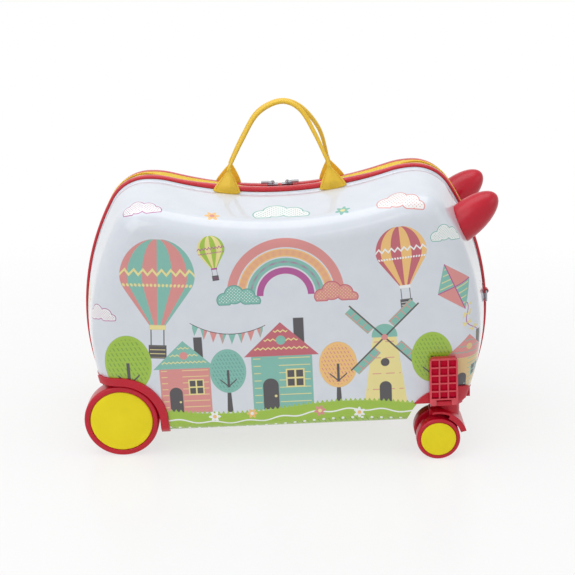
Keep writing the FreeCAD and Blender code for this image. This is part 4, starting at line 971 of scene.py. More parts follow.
# %% Palette and layout
TEAL, DEEP_TEAL = ink(126, 190, 176), ink(92, 158, 150)
ROSE, DEEP_ROSE = ink(222, 142, 138), ink(196, 92, 106)
LIME, LEAF, CREAM, TAN = ink(158, 196, 46), ink(118, 164, 44), ink(240, 226, 150), ink(228, 196, 134)
ORANGE, MAGENTA, COAL, CHALK = ink(246, 196, 118), ink(178, 72, 148), ink(66, 62, 66), ink(246, 248, 248)
LAYOUT = [
    (CLOUD, 0, 292, 1.25, 0, TEAL, CHALK, TEAL),
    (CLOUD, -150, 296, 1.0, 6, MAGENTA, CHALK, MAGENTA),
    (CLOUD, 128, 290, 1.1, -6, ROSE, CHALK, ROSE),
    (FLOWER, -72, 288, 1.1, 0, ORANGE, ROSE),
    (FLOWER, 66, 288, 1.1, 20, TEAL, CREAM),
    (RAINBOW, 2, 192, 1.4, 0, ROSE, ORANGE, TEAL, MAGENTA),
    (CLOUD, -50, 190, 1.0, 0, DEEP_TEAL, TEAL, CHALK),
    (CLOUD, 56, 190, 1.0, 0, DEEP_ROSE, ROSE, CREAM),
    (BALLOON, -136, 218, 1.36, -4, TEAL, ROSE, CREAM, COAL),
    (BALLOON, 128, 234, 0.92, 5, ORANGE, DEEP_ROSE, CHALK, COAL),
    (BALLOON, -76, 246, 0.5, 6, LIME, CREAM, MAGENTA, COAL),
    (KITE, 184, 196, 1.2, 24, TEAL, ROSE, CREAM, MAGENTA),
    (CLOUD, 178, 250, 0.8, 0, TEAL, CHALK, TEAL),
    (CLOUD, -204, 176, 0.8, 0, MAGENTA, CHALK, MAGENTA),
    (BALLOON, -256, 190, 0.62, 8, CREAM, TEAL, ROSE, COAL),
    (CLOUD, -246, 110, 0.7, 0, TEAL, CHALK, TEAL),
    (CLOUD, 252, 176, 0.8, 0, MAGENTA, CHALK, MAGENTA),
    (FLOWER, 262, 120, 1.0, 10, TEAL, CREAM),
    (TREE, -252, 54, 0.9, 0, TEAL, DEEP_TEAL, COAL),
    (TREE, 262, 54, 0.8, 0, ORANGE, ROSE, COAL),
    (TREE, -176, 56, 1.5, 0, LIME, LEAF, COAL),
    (PENNANTS, -64, 150, 0.9, -4, COAL, ROSE, TEAL),
    (TREE, -66, 58, 1.15, 0, TEAL, DEEP_TEAL, COAL),
    (TREE, 56, 58, 1.2, 0, ORANGE, ROSE, COAL),
    (HOUSE, -114, 58, 1.4, 0, ROSE, TEAL, CREAM, COAL),
    (HOUSE, -6, 58, 1.68, 0, TEAL, DEEP_ROSE, CREAM, COAL),
    (WINDMILL, 108, 58, 1.34, 0, CREAM, TEAL, ROSE, COAL),
    (TREE, 160, 58, 1.3, 0, LIME, LEAF, COAL),
    (HOUSE, 202, 66, 1.15, 0, TAN, ROSE, TEAL, COAL),
    (GROUND, 0, 60, 1.2, 0, LIME, LEAF, CHALK),
    (FLOWER, -84, 52, 0.9, 0, CHALK, ORANGE),
    (FLOWER, 34, 54, 0.9, 12, ROSE, CREAM),
    (FLOWER, 78, 50, 0.9, 30, CHALK, ORANGE),
    (FLOWER, -42, 54, 0.8, 0, ORANGE, CHALK),
]
print("layout:", len(LAYOUT), "motifs")

# %% [markdown]
# The shells are thin polycarbonate with the print under the clear outer skin, so the colour is matt and
# the gloss lies over it: a coat with its own low roughness. The print's ink is a little uneven, which a
# slow mottle gives.

# %% The printed film
def film():
    """Pale bluish white, each motif of the layout mixed over it by its mask, under a clear glossy coat."""
    material, tree, shader = new_finish("printed_film", Roughness=0.4, Coat_Weight=1.0, Coat_Roughness=0.04,
                                        Coat_IOR=1.5)
    x, z, _ = split(tree, flat_map(tree))
    grain = use_group(tree, MOULDED_GRAIN, Grains=900.0)
    colour = blend_colour(tree, grain.outputs["Mottle"], ink(214, 221, 231), ink(228, 233, 241))
    for picture, at_x, at_z, size, tilt, *colours in LAYOUT:
        c = 1000 * math.cos(math.radians(tilt)) / size
        s = 1000 * math.sin(math.radians(tilt)) / size
        across = x.math("MULTIPLY_ADD", c, z.math("MULTIPLY_ADD", s, -(at_x * c + at_z * s) / 1000))
        rise = z.math("MULTIPLY_ADD", c, x.math("MULTIPLY_ADD", -s, -(at_z * c - at_x * s) / 1000))
        motif = use_group(tree, picture, X=across, Z=rise)
        for chosen, socket in zip(colours, motif.inputs[2:]):
            feed(tree, chosen, socket)
        colour = blend_colour(tree, motif.outputs["Mask"], colour, motif.outputs["Colour"])
    feed(tree, colour, shader.inputs["Base Color"])
    return material


FILM = film()
far_shell = on_both_halves(near_sheet, FILM, "shell_film", "shell", SHEET_CREASE)[1]
print("film on both shells")

# %% [markdown]
# Round the mouth of each shell runs a soft red piping, then the yellow zip tape, then the zip's coil.
# All three are profiles carried round the outline: the profile's points are (distance from the zip,
# inset), and one outline for each of them makes the grid. In the saddle the near piping is drawn up a
# little, while the far one and the tape sink; over the humps and the ends the tape bulges between them.

# %% Piping round the shells
PIPING_RISE = {"near_": (1.8, 0.0), "far_": (-1.3, -0.7)}
TAPE_RISE = (-0.5, 3.2)
UPPER_Z = 250.0


def raised(line, out, rise, part=1.0, start=65.0, width=60.0):
    """Points moved outwards by a first amount in the middle of the saddle and by a second elsewhere, with
    a smooth change of a width that starts so far from the middle; part is the share each point takes."""
    share = eased(np.clip((start + width - np.abs(line[..., :1])) / width, 0, 1)) * (line[..., 1:] > UPPER_Z)
    return line + out * (rise[0] * share + rise[1] * (1 - share)) * part


def carried_round(profile, rise, part=1.0, **change):
    """A grid with one outline for each (distance from the zip, inset) of a profile."""
    ring = outline(profile[:, 1], profile[:, 1])
    along = unit(np.roll(ring, -1, 1) - np.roll(ring, 1, 1))
    ring = raised(ring, along[..., ::-1] * (1, -1), rise, part, **change)
    return deep(ring, profile[:, :1])


def bead(y, inset, half_y, half_inset, count, power):
    """A closed superellipse: cosine and sine raised to 2 / power, keeping their signs."""
    angle = full_turn(count)
    return np.stack([y + half_y * signed_power(np.cos(angle), 2 / power),
                     inset - half_inset * signed_power(np.sin(angle), 2 / power)], -1)


piping_profile = bead(y=13.9, inset=1.35, half_y=4.4, half_inset=2.15, count=28, power=2.9)
piping_inset = piping_profile[:, 1, None, None]
piping_part = (piping_inset.max() - piping_inset) / np.ptp(piping_inset)
piping_faces, _ = quads_of(len(piping_profile), COLUMNS, True, True)
for side, rise in PIPING_RISE.items():
    piping_grid = carried_round(piping_profile, rise, piping_part)
    half_piece(side, "piping", piping_grid, piping_faces, RED_PIPING, "half", "red_binding", ["edge_binding"])
print("piping:", piping_faces.shape[0], "faces a side")

# %% [markdown]
# The zip tape is cloth, and it stops where the cloth hinge begins, so its loop is drawn together to a
# point at both ends. Along the saddle its inner edge lies low, because the sliders run there, and its
# outer part rises as a bank beside them; its outer edge is sewn down under the piping. Its flat map is
# in metres along and across the tape, so that the weave keeps its size all the way round.

# %% Zip tape
ZIP_COLUMNS = np.arange(HINGE_COLUMNS, COLUMNS - HINGE_COLUMNS + 1)
SLIDER_REACH, SLIDER_SIDE, BANK_START, BANK_WIDTH = 120.0, 6.0, 22.0, 40.0
SEWN_SIDE = 12.0
tape_profile = bead(y=9.85, inset=4.2, half_y=8.45, half_inset=0.5, count=24, power=5.0)
bank_start = np.where(tape_profile[:, 0] < SLIDER_SIDE, SLIDER_REACH, BANK_START)[:, None, None]
bank_part = np.where(tape_profile[:, 0] < SEWN_SIDE, 1.0, 0.0)[:, None, None]
tape_grid = carried_round(tape_profile, TAPE_RISE, bank_part, start=bank_start, width=BANK_WIDTH)
tape_grid = tape_grid[:, ZIP_COLUMNS]
tape_ends = np.broadcast_to(tape_grid.mean(0)[[0, -1]], (len(tape_profile), 2, 3))
tape_grid = np.concatenate([tape_ends[:, :1], tape_grid, tape_ends[:, 1:]], 1)
tape_run = length_along(tape_grid.mean(0))
tape_faces, tape_places = quads_of(*tape_grid.shape[:2], round_rows=True)
around = np.append(tape_profile[:, 0], tape_profile[0, 0])
tape_flat = np.stack([tape_run[tape_places[..., 1]], around[tape_places[..., 0]]], -1) / 1000
tapes = pair("zip_tape_cloth", tape_grid, tape_faces, TAPE_CLOTH, "half", "yellow_cloth", ["zip_tape"],
             flat=tape_flat)
print("zip tape: %.0f mm long" % tape_run[-1])

# %% [markdown]
# The coil is hundreds of small nylon loops, one from each side in turn. One loop is a short rounded bar
# of a few dozen faces, copied along the outline at an even pitch; the far side is half a pitch later.

# %% Zip coil
COIL_INSET, COIL_PITCH, COIL_CLEAR, COIL_TALL = 2.6, 2.4, 1.0, 1.25
COIL_START = {"near_": COIL_CLEAR, "far_": COIL_CLEAR + COIL_PITCH / 2}
BAR_SIDES = 6


def coil(start):
    """A bar at each place along the zip: a capsule from across its middle to the tape, six sides round."""
    ring = outline(COIL_INSET, COIL_INSET)[0, ZIP_COLUMNS]
    spots, ahead = spaced(ring, start, COIL_CLEAR, COIL_PITCH)
    out = ahead[:, ::-1] * (1, -1)
    spots = raised(spots, out, TAPE_RISE, start=SLIDER_REACH, width=BANK_WIDTH)
    y = np.array([-0.55, -0.35, 0.3, 1.6, 2.7, 2.95])[:, None]
    size = np.array([0.0, 0.5, 0.72, 0.6, 0.55, 0.0])[:, None, None]
    angle = full_turn(BAR_SIDES)[:, None]
    spots, ahead, out = (values[:, None, None, :] for values in (spots, ahead, out))
    flat = spots + size * np.cos(angle) * ahead + size * np.sin(angle) * COIL_TALL * out
    return deep(flat, y), copied_quads(len(y), BAR_SIDES, len(flat))


for side, start in COIL_START.items():
    coil_grid, coil_faces = coil(start)
    half_piece(side, "zip_coil", coil_grid, coil_faces, YELLOW_COIL, "half", "yellow_plastic", ["zip_teeth"])
print("zip coil:", len(coil_grid), "loops a side")

# %% [markdown]
# The carrying handles are straps rolled into a soft tube and sewn shut along the inside of the arch.
# The path is a smooth curve in a plane that leans inwards, so that the two handles nearly meet at the
# top. The far strap bows out a little more over its front leg, as soft straps never lie quite alike. The
# section swells from the ends to the top and has a crease where it is sewn.

# %% Carrying handles
HANDLE_X, HANDLE_Z, HANDLE_RISE, HANDLE_TOP = 55.5, 317.0, 70.5, 5.0
TAB_X, TAB_Y, TOP_Y = 60.0, 20.6, 3.3
LEAN = math.atan2(TAB_Y - TOP_Y, HANDLE_RISE)
CREASE, CREASE_DEPTH, CREASE_WIDTH = 1.5 * math.pi - 0.5, 0.3, 0.22
STRAP_STEPS, STRAP_SIDES, STRAP_STEP, SWELL_POWER = 12, 48, 0.4, 0.6
STRAP_TALL, TALL_GAIN, STRAP_WIDE, WIDE_GAIN = 1.5, 1.2, 1.8, 1.0
STRAP_STITCH = {"length": 2.2, "gap": 0.9, "radius": 0.28, "clear": 18.0}
STRAP_BOW = {"near_": 0.0, "far_": 0.1}


def strap_line(bow):
    """The arch as shares of its half width and rise; the bow moves its front leg outwards."""
    arch = [(-1.03, -0.046), (-1, 0), (-0.72, 0.42), (-0.38, 0.83), (HANDLE_TOP / HANDLE_X, 1),
            (0.47 + bow / 3, 0.87), (0.75 + bow, 0.48), (1, 0), (1.025, -0.048)]
    return smooth_line(np.array(arch) * (HANDLE_X, HANDLE_RISE), STRAP_STEPS)


def leaning(flat, side):
    """Points of the arch's own plane, and their distance to its side, in the plane that leans inwards."""
    y = TAB_Y - flat[..., 1] * math.sin(LEAN) - side * math.cos(LEAN)
    z = HANDLE_Z + flat[..., 1] * math.cos(LEAN) - side * math.sin(LEAN)
    return np.stack([flat[..., 0], y, z], -1)


def rolled_strap(line):
    """Ellipses along the line, half as thick at its ends; a narrow bell-shaped dent is the sewn crease. The
    same ellipses give the places of the stitches, which lie along the bottom of the crease."""
    run = length_along(line)
    ahead = unit(np.gradient(line, axis=0))
    out = ahead[:, ::-1] * (-1, 1)
    swell = np.sin(math.pi * run / run[-1])[:, None] ** SWELL_POWER
    angle = np.append(full_turn(STRAP_SIDES), CREASE)
    bend = (angle - CREASE + math.pi) % (2 * math.pi) - math.pi
    dent = (1 - CREASE_DEPTH * np.exp(-(bend / CREASE_WIDTH) ** 2)) * closed_ends(len(run))
    lift = (STRAP_TALL + TALL_GAIN * swell) * np.sin(angle) * dent
    side = (STRAP_WIDE + WIDE_GAIN * swell) * np.cos(angle) * dent
    grid = leaning(line[:, None, :] + lift[..., None] * out[:, None, :], side)
    return grid[:, :-1], grid[:, -1], run


def stitches(seam, length, gap, radius, clear):
    """Capsules of a few dozen faces along a seam, clear of its ends: rings of six points round each one."""
    spots, ahead = spaced(seam, clear, clear, length + gap)
    first = unit(np.cross(ahead, (0.0, 1.0, 0.0)))
    second = np.cross(ahead, first)
    angle = full_turn(BAR_SIDES)[:, None]
    ring = np.cos(angle) * first[:, None, :] + np.sin(angle) * second[:, None, :]
    step = length * np.array([-0.5, -0.38, 0.0, 0.38, 0.5])[:, None, None]
    size = radius * np.array([0.0, 0.75, 1.0, 0.75, 0.0])[:, None, None]
    grid = spots[:, None, None, :] + step * ahead[:, None, None, :] + size * ring[:, None, :, :]
    return grid, copied_quads(len(step), BAR_SIDES, len(spots))


for side, bow in STRAP_BOW.items():
    strap_grid, strap_seam, strap_run = rolled_strap(strap_line(bow))
    strap_faces, strap_places = round_quads(strap_grid)
    strap_flat = np.stack([strap_run[strap_places[..., 0]], strap_places[..., 1] * STRAP_STEP], -1) / 1000
    handle = half_piece(side, "rolled_handle", strap_grid, strap_faces, STRAP, "handle", "yellow_strap",
                        ["carry_handle"], strap_flat)
    seam_grid, seam_faces = stitches(strap_seam, **STRAP_STITCH)
    half_piece(side, "handle_stitches", seam_grid, seam_faces, THREAD, "handle", "yellow_strap")
    print(side + "handle: %.0f mm of strap, %d stitches" % (strap_run[-1], len(seam_grid)))

# %% [markdown]
# Each end of a handle is held by a leaf of the same cloth, sewn in behind the piping. A leaf is wide at
# the foot and narrows in a hollow line to a sleeve round the strap. The folded cloth stands up in one
# soft ridge from the foot to the tip, so that the leaf has two facets which catch the light differently.

# %% Handle leaves
LEAF_RIDGE = {-1: 0.3, 1: -0.2}
LEAF_HALF, SLEEVE_HALF, SLEEVE_THICK = 15.2, 2.2, 2.1
LEAF_STEPS, LEAF_SIDES = 30, 72
TAPER_END, TAPER_POWER, SLEEVE_FROM, SLEEVE_OVER = 0.84, 1.35, 0.6, 0.3
FOOT_INSET, FOOT_CURL, EDGE_THICK, BACK_THICK = 5.4, 1.5, 0.6, 0.8
RIDGE_ROUND, RIDGE_FOOT, RIDGE_GAIN, RIDGE_FULL = 0.012, 0.1, 0.38, 0.35
SEAM_SIDE, SEAM_LIFT, SEAM_ROWS = 0.84, 0.05, np.linspace(0.08, 0.7, 60)
LEAF_STITCH = {"length": 1.8, "gap": 0.8, "radius": 0.22, "clear": 1.6}


def saddle_height(x, inset):
    """Height of the saddle's arc at x, for an inset."""
    return SADDLE_Z + SADDLE_R - np.sqrt((SADDLE_R + inset) ** 2 - x ** 2)


def leaf_point(side, u, v, face, grow=0.0):
    """A point of a leaf: u across from -1 to 1, v from foot to tip, face -1 outside to 1 inside. The half
    width falls from the foot's to the sleeve's by 1 - (v / end)^power. Outside stands a roof over u with a
    rounded ridge, half as high as the half width; inside is nearly flat. Grow moves the point outwards."""
    taper = 1 - np.clip(v / TAPER_END, 0, 1) ** TAPER_POWER
    width = SLEEVE_HALF + (LEAF_HALF - SLEEVE_HALF) * taper
    x = side * (TAB_X - (TAB_X - HANDLE_X) * v ** 1.2) + width * u
    foot = saddle_height(x, FOOT_INSET) + FOOT_CURL * np.abs(u) ** 5
    z = foot + (HANDLE_Z - 0.6 - foot) * v
    from_ridge = u - LEAF_RIDGE[side]
    span = 1 + np.sign(from_ridge) * -LEAF_RIDGE[side]
    roof = np.clip(1 - np.sqrt((from_ridge / span) ** 2 + RIDGE_ROUND), 0, 1)
    crown = EDGE_THICK + width * roof * (RIDGE_FOOT + RIDGE_GAIN * eased(np.clip(v / RIDGE_FULL, 0, 1)))
    sleeve = np.clip((v - SLEEVE_FROM) / SLEEVE_OVER, 0, 1)
    outside = crown * (1 - sleeve) + SLEEVE_THICK * sleeve + grow
    inside = BACK_THICK * (1 - sleeve) + SLEEVE_THICK * sleeve
    y = TAB_Y + 0.3 * (1 - v) - face * np.where(face < 0, outside, inside)
    return np.stack(np.broadcast_arrays(x, y, z), -1)


def leaf(side):
    """Rows from foot to tip, each a flattened loop; the first and the last row shrink to the middle."""
    v = np.concatenate([[0.0], np.linspace(0, 1, LEAF_STEPS), [1.0]])[:, None]
    angle = full_turn(LEAF_SIDES)
    closing = closed_ends(len(v))
    u = signed_power(np.cos(angle), 0.8)
    face = signed_power(np.sin(angle), 0.5)
    return leaf_point(side, u * closing, v, face * closing)


for name, side in (("rear", -1), ("front", 1)):
    leaf_grid = leaf(side)
    leaf_faces, leaf_places = round_quads(leaf_grid)
    leaves = pair("handle_leaf_" + name, leaf_grid, leaf_faces, STRAP, "half", "yellow_strap",
                  ["handle_tabs"], flat=flat_of(leaf_grid[..., [0, 2]], leaf_places))
    for edge, sign in (("left", -1), ("right", 1)):
        seam = leaf_point(side, SEAM_SIDE * sign + 0 * SEAM_ROWS, SEAM_ROWS, -1.0, SEAM_LIFT)
        seam_grid, seam_faces = stitches(seam, **LEAF_STITCH)
        pair("leaf_stitches_%s_%s" % (name, edge), seam_grid, seam_faces, THREAD, "half", "yellow_strap")
print("four handle leaves with their seams")

# %% [markdown]
# Two blunt horns stand on the front shoulders, one on each half. A horn is an ellipsoid leaning forward;
# the shell's solid is subtracted from it, so that it seats on the curved wall all the way round.

# %% Horns
HORN_AT = (202.4, 55.0, 252.3)
HORN_LONG, HORN_R, HORN_HALF, HORN_LEAN = 45.5, 20.5, 19.0, math.radians(39)
HORN_ROWS, HORN_SIDES = 49, 72


def horn():
    """An ellipsoid: cosine along the leaning axis, sine round it, from pole to pole."""
    polar = np.linspace(0, math.pi, HORN_ROWS)[:, None]
    around = full_turn(HORN_SIDES)
    along = HORN_LONG * np.cos(polar) + 0 * around
    rise = HORN_R * np.sin(polar) * np.cos(around)
    x = HORN_AT[0] + along * math.cos(HORN_LEAN) - rise * math.sin(HORN_LEAN)
    z = HORN_AT[2] + along * math.sin(HORN_LEAN) + rise * math.cos(HORN_LEAN)
    y = HORN_AT[1] + HORN_HALF * np.sin(polar) * np.sin(around)
    return np.stack([x, y, z], -1)


horn_grid = horn()
horn_faces, _ = round_quads(horn_grid)
horn_solid = mesh_of("near_smooth_horn", standing(horn_grid * (1, -1, 1)), horn_faces)
near_horn = carved(horn_solid, [half_solid("seat", 0.0)])
on_both_halves(near_horn, RED_PLASTIC, "red_plastic", "horn", PART_CREASE)
print("horns:", len(near_horn.polygons), "faces each")

# %% [markdown]
# Wheels are turned shapes: a profile of (radius, distance from the zip) spun about the axle. Small
# roundings at every edge are part of the profile, because a sharp moulded edge never looks real.

# %% Wheels and discs
CASTER_X, CASTER_Z, CASTER_Y, CASTER_GAP = 165.5, 16.0, 90.0, 8.1
REAR_COUNT, CASTER_COUNT = 128, 96


def spun(profile, x, z, count):
    """A profile of (radius, distance from the zip) carried round an axle at (x, z)."""
    angle = full_turn(count)
    radius, y = profile[:, :1], profile[:, 1:]
    return np.stack(np.broadcast_arrays(x + radius * np.cos(angle), y, z + radius * np.sin(angle)), -1)


def rounded(corners, steps=5):
    """A profile with each inner corner (radius, distance, rounding) replaced by a quadratic curve."""
    corners = np.asarray(corners, float)
    spot, cut = corners[:, :2], corners[:, 2:]
    before = unit(spot[:-2] - spot[1:-1]) * cut[1:-1]
    after = unit(spot[2:] - spot[1:-1]) * cut[1:-1]
    t = np.linspace(0, 1, steps)[None, :, None]
    bend = spot[1:-1, None] + before[:, None] * (1 - t) ** 2 + after[:, None] * t ** 2
    return np.vstack([spot[:1], bend.reshape(-1, 2), spot[-1:]])


def turned_pair(name, corners, x, z, count, finish, body, slot, node):
    """A near and a far turned piece from rounded profile corners."""
    grid = spun(rounded(corners), x, z, count)
    faces, _ = round_quads(grid)
    pair(name, grid, faces, finish, body, slot, [node], crease=PART_CREASE)


rear_wheel = [(0, 100.5, 0), (35.4, 100.5, 0.3), (35.6, 102.6, 0.4), (36.6, 103.0, 0.5), (40.6, 103.0, 0.8),
              (42.0, 101.4, 1.2), (42.0, 81.6, 1.2), (40.6, 80.0, 0.8), (33.6, 80.0, 0.6), (33.0, 88.0, 0.8),
              (11.0, 88.0, 0.8), (10.0, 80.4, 0.5), (0, 80.4, 0)]
turned_pair("tyre", rear_wheel, REAR_X, REAR_Z, REAR_COUNT, RED_PLASTIC, "rear_wheel_body",
            "red_plastic", "rear_wheel")
rear_disc = [(0, 100.6, 0), (34.6, 100.6, 0.3), (35.1, 102.2, 0.7), (33.4, 102.9, 0.8), (0, 103.1, 0)]
turned_pair("wheel_disc", rear_disc, REAR_X, REAR_Z, REAR_COUNT, YELLOW_PLASTIC, "rear_wheel_body",
            "yellow_plastic", "wheel_cap")
caster_wheel = [(0, 12.9, 0), (20.1, 12.9, 0.2), (20.3, 14.1, 0.3), (20.9, 14.4, 0.3), (23.2, 14.4, 0.7),
                (24.5, 13.1, 1.0), (24.5, 1.3, 1.0), (23.2, 0.0, 0.7), (0, 0.0, 0)]
caster_disc = [(0, 13.0, 0), (19.4, 13.0, 0.2), (19.8, 14.1, 0.5), (18.6, 14.6, 0.6), (0, 14.8, 0)]
for name, turn in (("caster_outer_", 1), ("caster_inner_", -1)):
    for part, node, corners, finish, slot in (
            ("tyre", "wheel", caster_wheel, RED_PLASTIC, "red_plastic"),
            ("disc", "cap", caster_disc, YELLOW_PLASTIC, "yellow_plastic")):
        placed = [(r, CASTER_Y + turn * (CASTER_GAP + y), cut) for r, y, cut in corners]
        turned_pair(name + part, placed, CASTER_X, CASTER_Z, CASTER_COUNT, finish, "caster_wheels", slot,
                    name + node)
print("wheels and discs: 6 tyres, 6 discs")

# %% [markdown]
# The tops of the footrests' ribs get a painted highlight: a paler tone than the cells between them, which
# lie in shade. The ribs end in one plane, so the distance from the zip plane is all that the mask needs.

# %% Red plastic with a painted highlight on the rib tops
def rubbed_red(highlight_from, highlight_to):
    """Red plastic that turns to a paler, duller tone between two distances from the zip plane, in metres; the
    paler tone is a painted highlight on the rib tops.
    """
    material, tree, shader = new_finish("rubbed_red", Coat_Weight=0.1, Coat_Roughness=0.2)
    grain = use_group(tree, MOULDED_GRAIN, Grains=2600.0)
    where = tree.nodes.new("ShaderNodeTexCoord").outputs["Object"]
    # Painted highlight: the rib tops take a paler tone for the light they catch, made patchy by the mottle.
    highlight_patches = Field(tree, grain.outputs["Mottle"]) * 0.7 + 0.3
    rib_highlight = ramp(abs(split(tree, where)[1]), highlight_from, highlight_to - highlight_from) * highlight_patches
    red = blend_colour(tree, grain.outputs["Mottle"], ink(176, 2, 44), ink(198, 14, 56))
    feed(tree, blend_colour(tree, rib_highlight, red, ink(232, 92, 100)), shader.inputs["Base Color"])
    feed(tree, rib_highlight * 0.25 + 0.28, shader.inputs["Roughness"])
    bumped(tree, shader, BITE_STRENGTH, 0.02, grain.outputs["Height"])
    return material


# The footrests' finish, with a painted highlight on the rib tops from 114.6 to 115.4 mm off the zip plane.
PAINTED_HIGHLIGHT_RED = rubbed_red(highlight_from=0.1146, highlight_to=0.1154)
CELL_RED = plastic("cell_red", ink(194, 0, 42), ink(214, 6, 54), (0.5, 0.62), 2600.0, 0.02,
                   Specular_IOR_Level=0.12)
print("highlighted finish and its cells:", PAINTED_HIGHLIGHT_RED.name, CELL_RED.name)

# %% [markdown]
# The housings, brackets, forks and footrests have the right shape as solids, but their edges are knife
# sharp. A copy of a solid is merged, its flat triangles are joined to whole faces, and a Bevel modifier
# rounds the edges over by a fraction of a millimetre.

# %% Rounded copies of the moulded solids
MERGE_WITHIN, FLAT_WITHIN, BEVEL_FROM = 2e-6, math.radians(0.5), math.radians(32)


def softened(node, width, finish, slot, steps=2):
    """A copy of a solid with its doubles merged, its flat faces whole, and its edges rounded over."""
    mesh = frame["nodes"][node].data.copy()
    mesh.name = node + "_moulded"
    work = bmesh.new()
    work.from_mesh(mesh)
    bmesh.ops.remove_doubles(work, verts=work.verts, dist=MERGE_WITHIN)
    bmesh.ops.dissolve_limit(work, angle_limit=FLAT_WITHIN, verts=work.verts, edges=work.edges)
    work.to_mesh(mesh)
    work.free()
    mesh.shade_smooth()
    piece = place(mesh, finish, frame["nodes"][node]["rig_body"], slot, [node], SOLID_CREASE)
    edge = piece.modifiers.new("rounded_edges", "BEVEL")
    edge.width = width / 1000
    edge.segments = steps
    edge.limit_method = "ANGLE"
    edge.angle_limit = BEVEL_FROM
    edge.harden_normals = True


for side in SIDES:
    for node, width, finish in (("wheel_housing", 0.5, RED_PLASTIC), ("caster_bracket", 0.5, RED_PLASTIC),
                                ("caster_fork", 0.4, RED_PLASTIC), ("footrest", 0.35, PAINTED_HIGHLIGHT_RED)):
        softened(side + node, width, finish, "red_plastic")
    for node in ("housing_screws", "axle_bolt", "bracket_screws", "footrest_pin", "horn_screws",
                 "caster_stem", "caster_axle"):
        finished(frame["nodes"][side + node].data, STEEL)
for name in ("rear", "front"):
    softened("zip_slider_" + name, 0.5, BRIGHT_METAL, "bright_metal", 3)
    softened("zip_pull_" + name, 0.3, BRIGHT_METAL, "bright_metal", 3)
softened("tow_ring_tab", 0.3, RED_PIPING, "red_plastic")
finished(frame["nodes"]["tow_ring"].data, BRIGHT_METAL)
print("moulded and metal pieces finished")

# %% [markdown]
# The cells of a footrest are only a few millimetres deep, because a web between the ribs closes them. It
# is a slab with rounded corners inside the frame of the footrest: one flattened loop, carried from its
# back to its front.

# %% Footrest webs
WEB_MIDDLE, WEB_HALF, WEB_LEVELS = (171.5, 90.2), (14.6, 23.0), (109.4, 109.4, 113.1, 113.1)
web_loop = bead(y=0.0, inset=0.0, half_y=1.0, half_inset=1.0, count=48, power=14.0) * WEB_HALF
web_flat = WEB_MIDDLE + web_loop * closed_ends(len(WEB_LEVELS))[..., None]
web_grid = deep(web_flat, np.array(WEB_LEVELS)[:, None])
web_faces, _ = round_quads(web_grid)
pair("footrest_web", web_grid, web_faces, CELL_RED, "footrest_body", "red_plastic", crease=SHEET_CREASE)
print("footrest webs: two")

# %% [markdown]
# Inside, each half is lined with a plain cloth that follows the shell and its pockets. It is the same
# sheet as the shell, set further in and thinner, so it is made the same way.

# %% Lining
LINING_IN, LINING_THICK = SHELL_WALL + 2.6, 0.8


def cloth_area(mesh):
    """Half the surface of a thin closed sheet, which is the area of its cloth."""
    area = np.empty(len(mesh.polygons))
    mesh.polygons.foreach_get("area", area)
    return area.sum() / 2


near_lining = half_sheet("near_lining_cloth", LINING_IN, LINING_THICK)
lining_area = cloth_area(near_lining)
linings = on_both_halves(near_lining, LINING_CLOTH, "lining_cloth", "lining", SHEET_CREASE)
tape_length = tape_run[-1] / 1000
for tape in tapes:
    tape_width = cloth_area(tape.data) / tape_length
    print(tape.name, "%.1f mm by %.3f m" % (1000 * tape_width, tape_length))
print("lining: %.3f m2 a side" % lining_area)

# %% [markdown]
# Under the belly a strip of woven tape is the hinge. It is one cloth sewn to both halves; here it is one
# still strip that rides on neither half.

# %% Cloth hinge
HINGE_Z, HINGE_REACH, HINGE_BEND, HINGE_COUNT = BELLY_Z + 3.7, 18.3, 9.0, 40
HINGE_END, HINGE_THICK = HINGE_HALF - 0.5, 0.5


def hinge_strip():
    """A thin closed strip: a flattened loop across the zip, carried along the belly, with ends closed."""
    profile = bead(y=0.0, inset=0.0, half_y=HINGE_REACH, half_inset=HINGE_THICK, count=64, power=6.0)
    x = np.concatenate([[-HINGE_END], np.linspace(-HINGE_END, HINGE_END, HINGE_COUNT), [HINGE_END]])
    closing = closed_ends(len(x))
    y = profile[:, 0] * np.where(closing > 0, 1.0, 0.98)
    lift = profile[:, 1] * closing
    return np.stack(np.broadcast_arrays(x[:, None], y, HINGE_Z + HINGE_THICK + lift), -1)


hinge_grid = hinge_strip()
hinge_faces, hinge_places = round_quads(hinge_grid)
hinge_flat = flat_of(hinge_grid[..., :2], hinge_places)
hinge_mesh = mesh_of("hinge_weave_strip", standing(hinge_grid), hinge_faces, hinge_flat)
finished(hinge_mesh, HINGE_CLOTH)
hinge = linked("hinge_weave_strip", hinge_mesh)
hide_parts("hinge_cloth")
hinge_at = standing([(0.0, -HINGE_BEND, HINGE_Z), (0.0, HINGE_BEND, HINGE_Z)])
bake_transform(hinge)
print("hinge: %.4f m2" % cloth_area(hinge_mesh))

# %% [markdown]
# The studio is plain: a pale floor, an even white surround, and soft boxes above and in front. The floor
# and the surround are white to the camera and to reflections, while the floor keeps part of its shading,
# so that the soft shadow under the case stays. Away from the case the floor fades into the surround,
# and it is clear where the far half dips below it when the standing case is opened: there the height in
# the far shell's own coordinates, which turn with that half, is more than nothing.

# %% Floor and surround
FLOOR_HALF, FLOOR_WHITE, SURROUND = 6.0, 0.7, 0.5
FADE_FROM, FADE_OVER = 0.3, 0.6
CLEAR_FROM, CLEAR_OVER = 0.01, 0.02
WHITE = (1.0, 1.0, 1.0, 1.0)


def mixed_shaders(tree, share, below, above):
    """One shader over another by a share from 0 to 1."""
    node = tree.nodes.new("ShaderNodeMixShader")
    for value, socket in zip((share, below, above), node.inputs):
        feed(tree, value, socket)
    return node.outputs["Shader"]


def white_to_camera(tree):
    """A mask that is 1 for rays from the camera, and for those seen in gloss and glass."""
    path = tree.nodes.new("ShaderNodeLightPath")
    seen = Field(tree, path.outputs["Is Camera Ray"]).math("MAXIMUM", path.outputs["Is Glossy Ray"])
    return seen.math("MAXIMUM", path.outputs["Is Transmission Ray"])


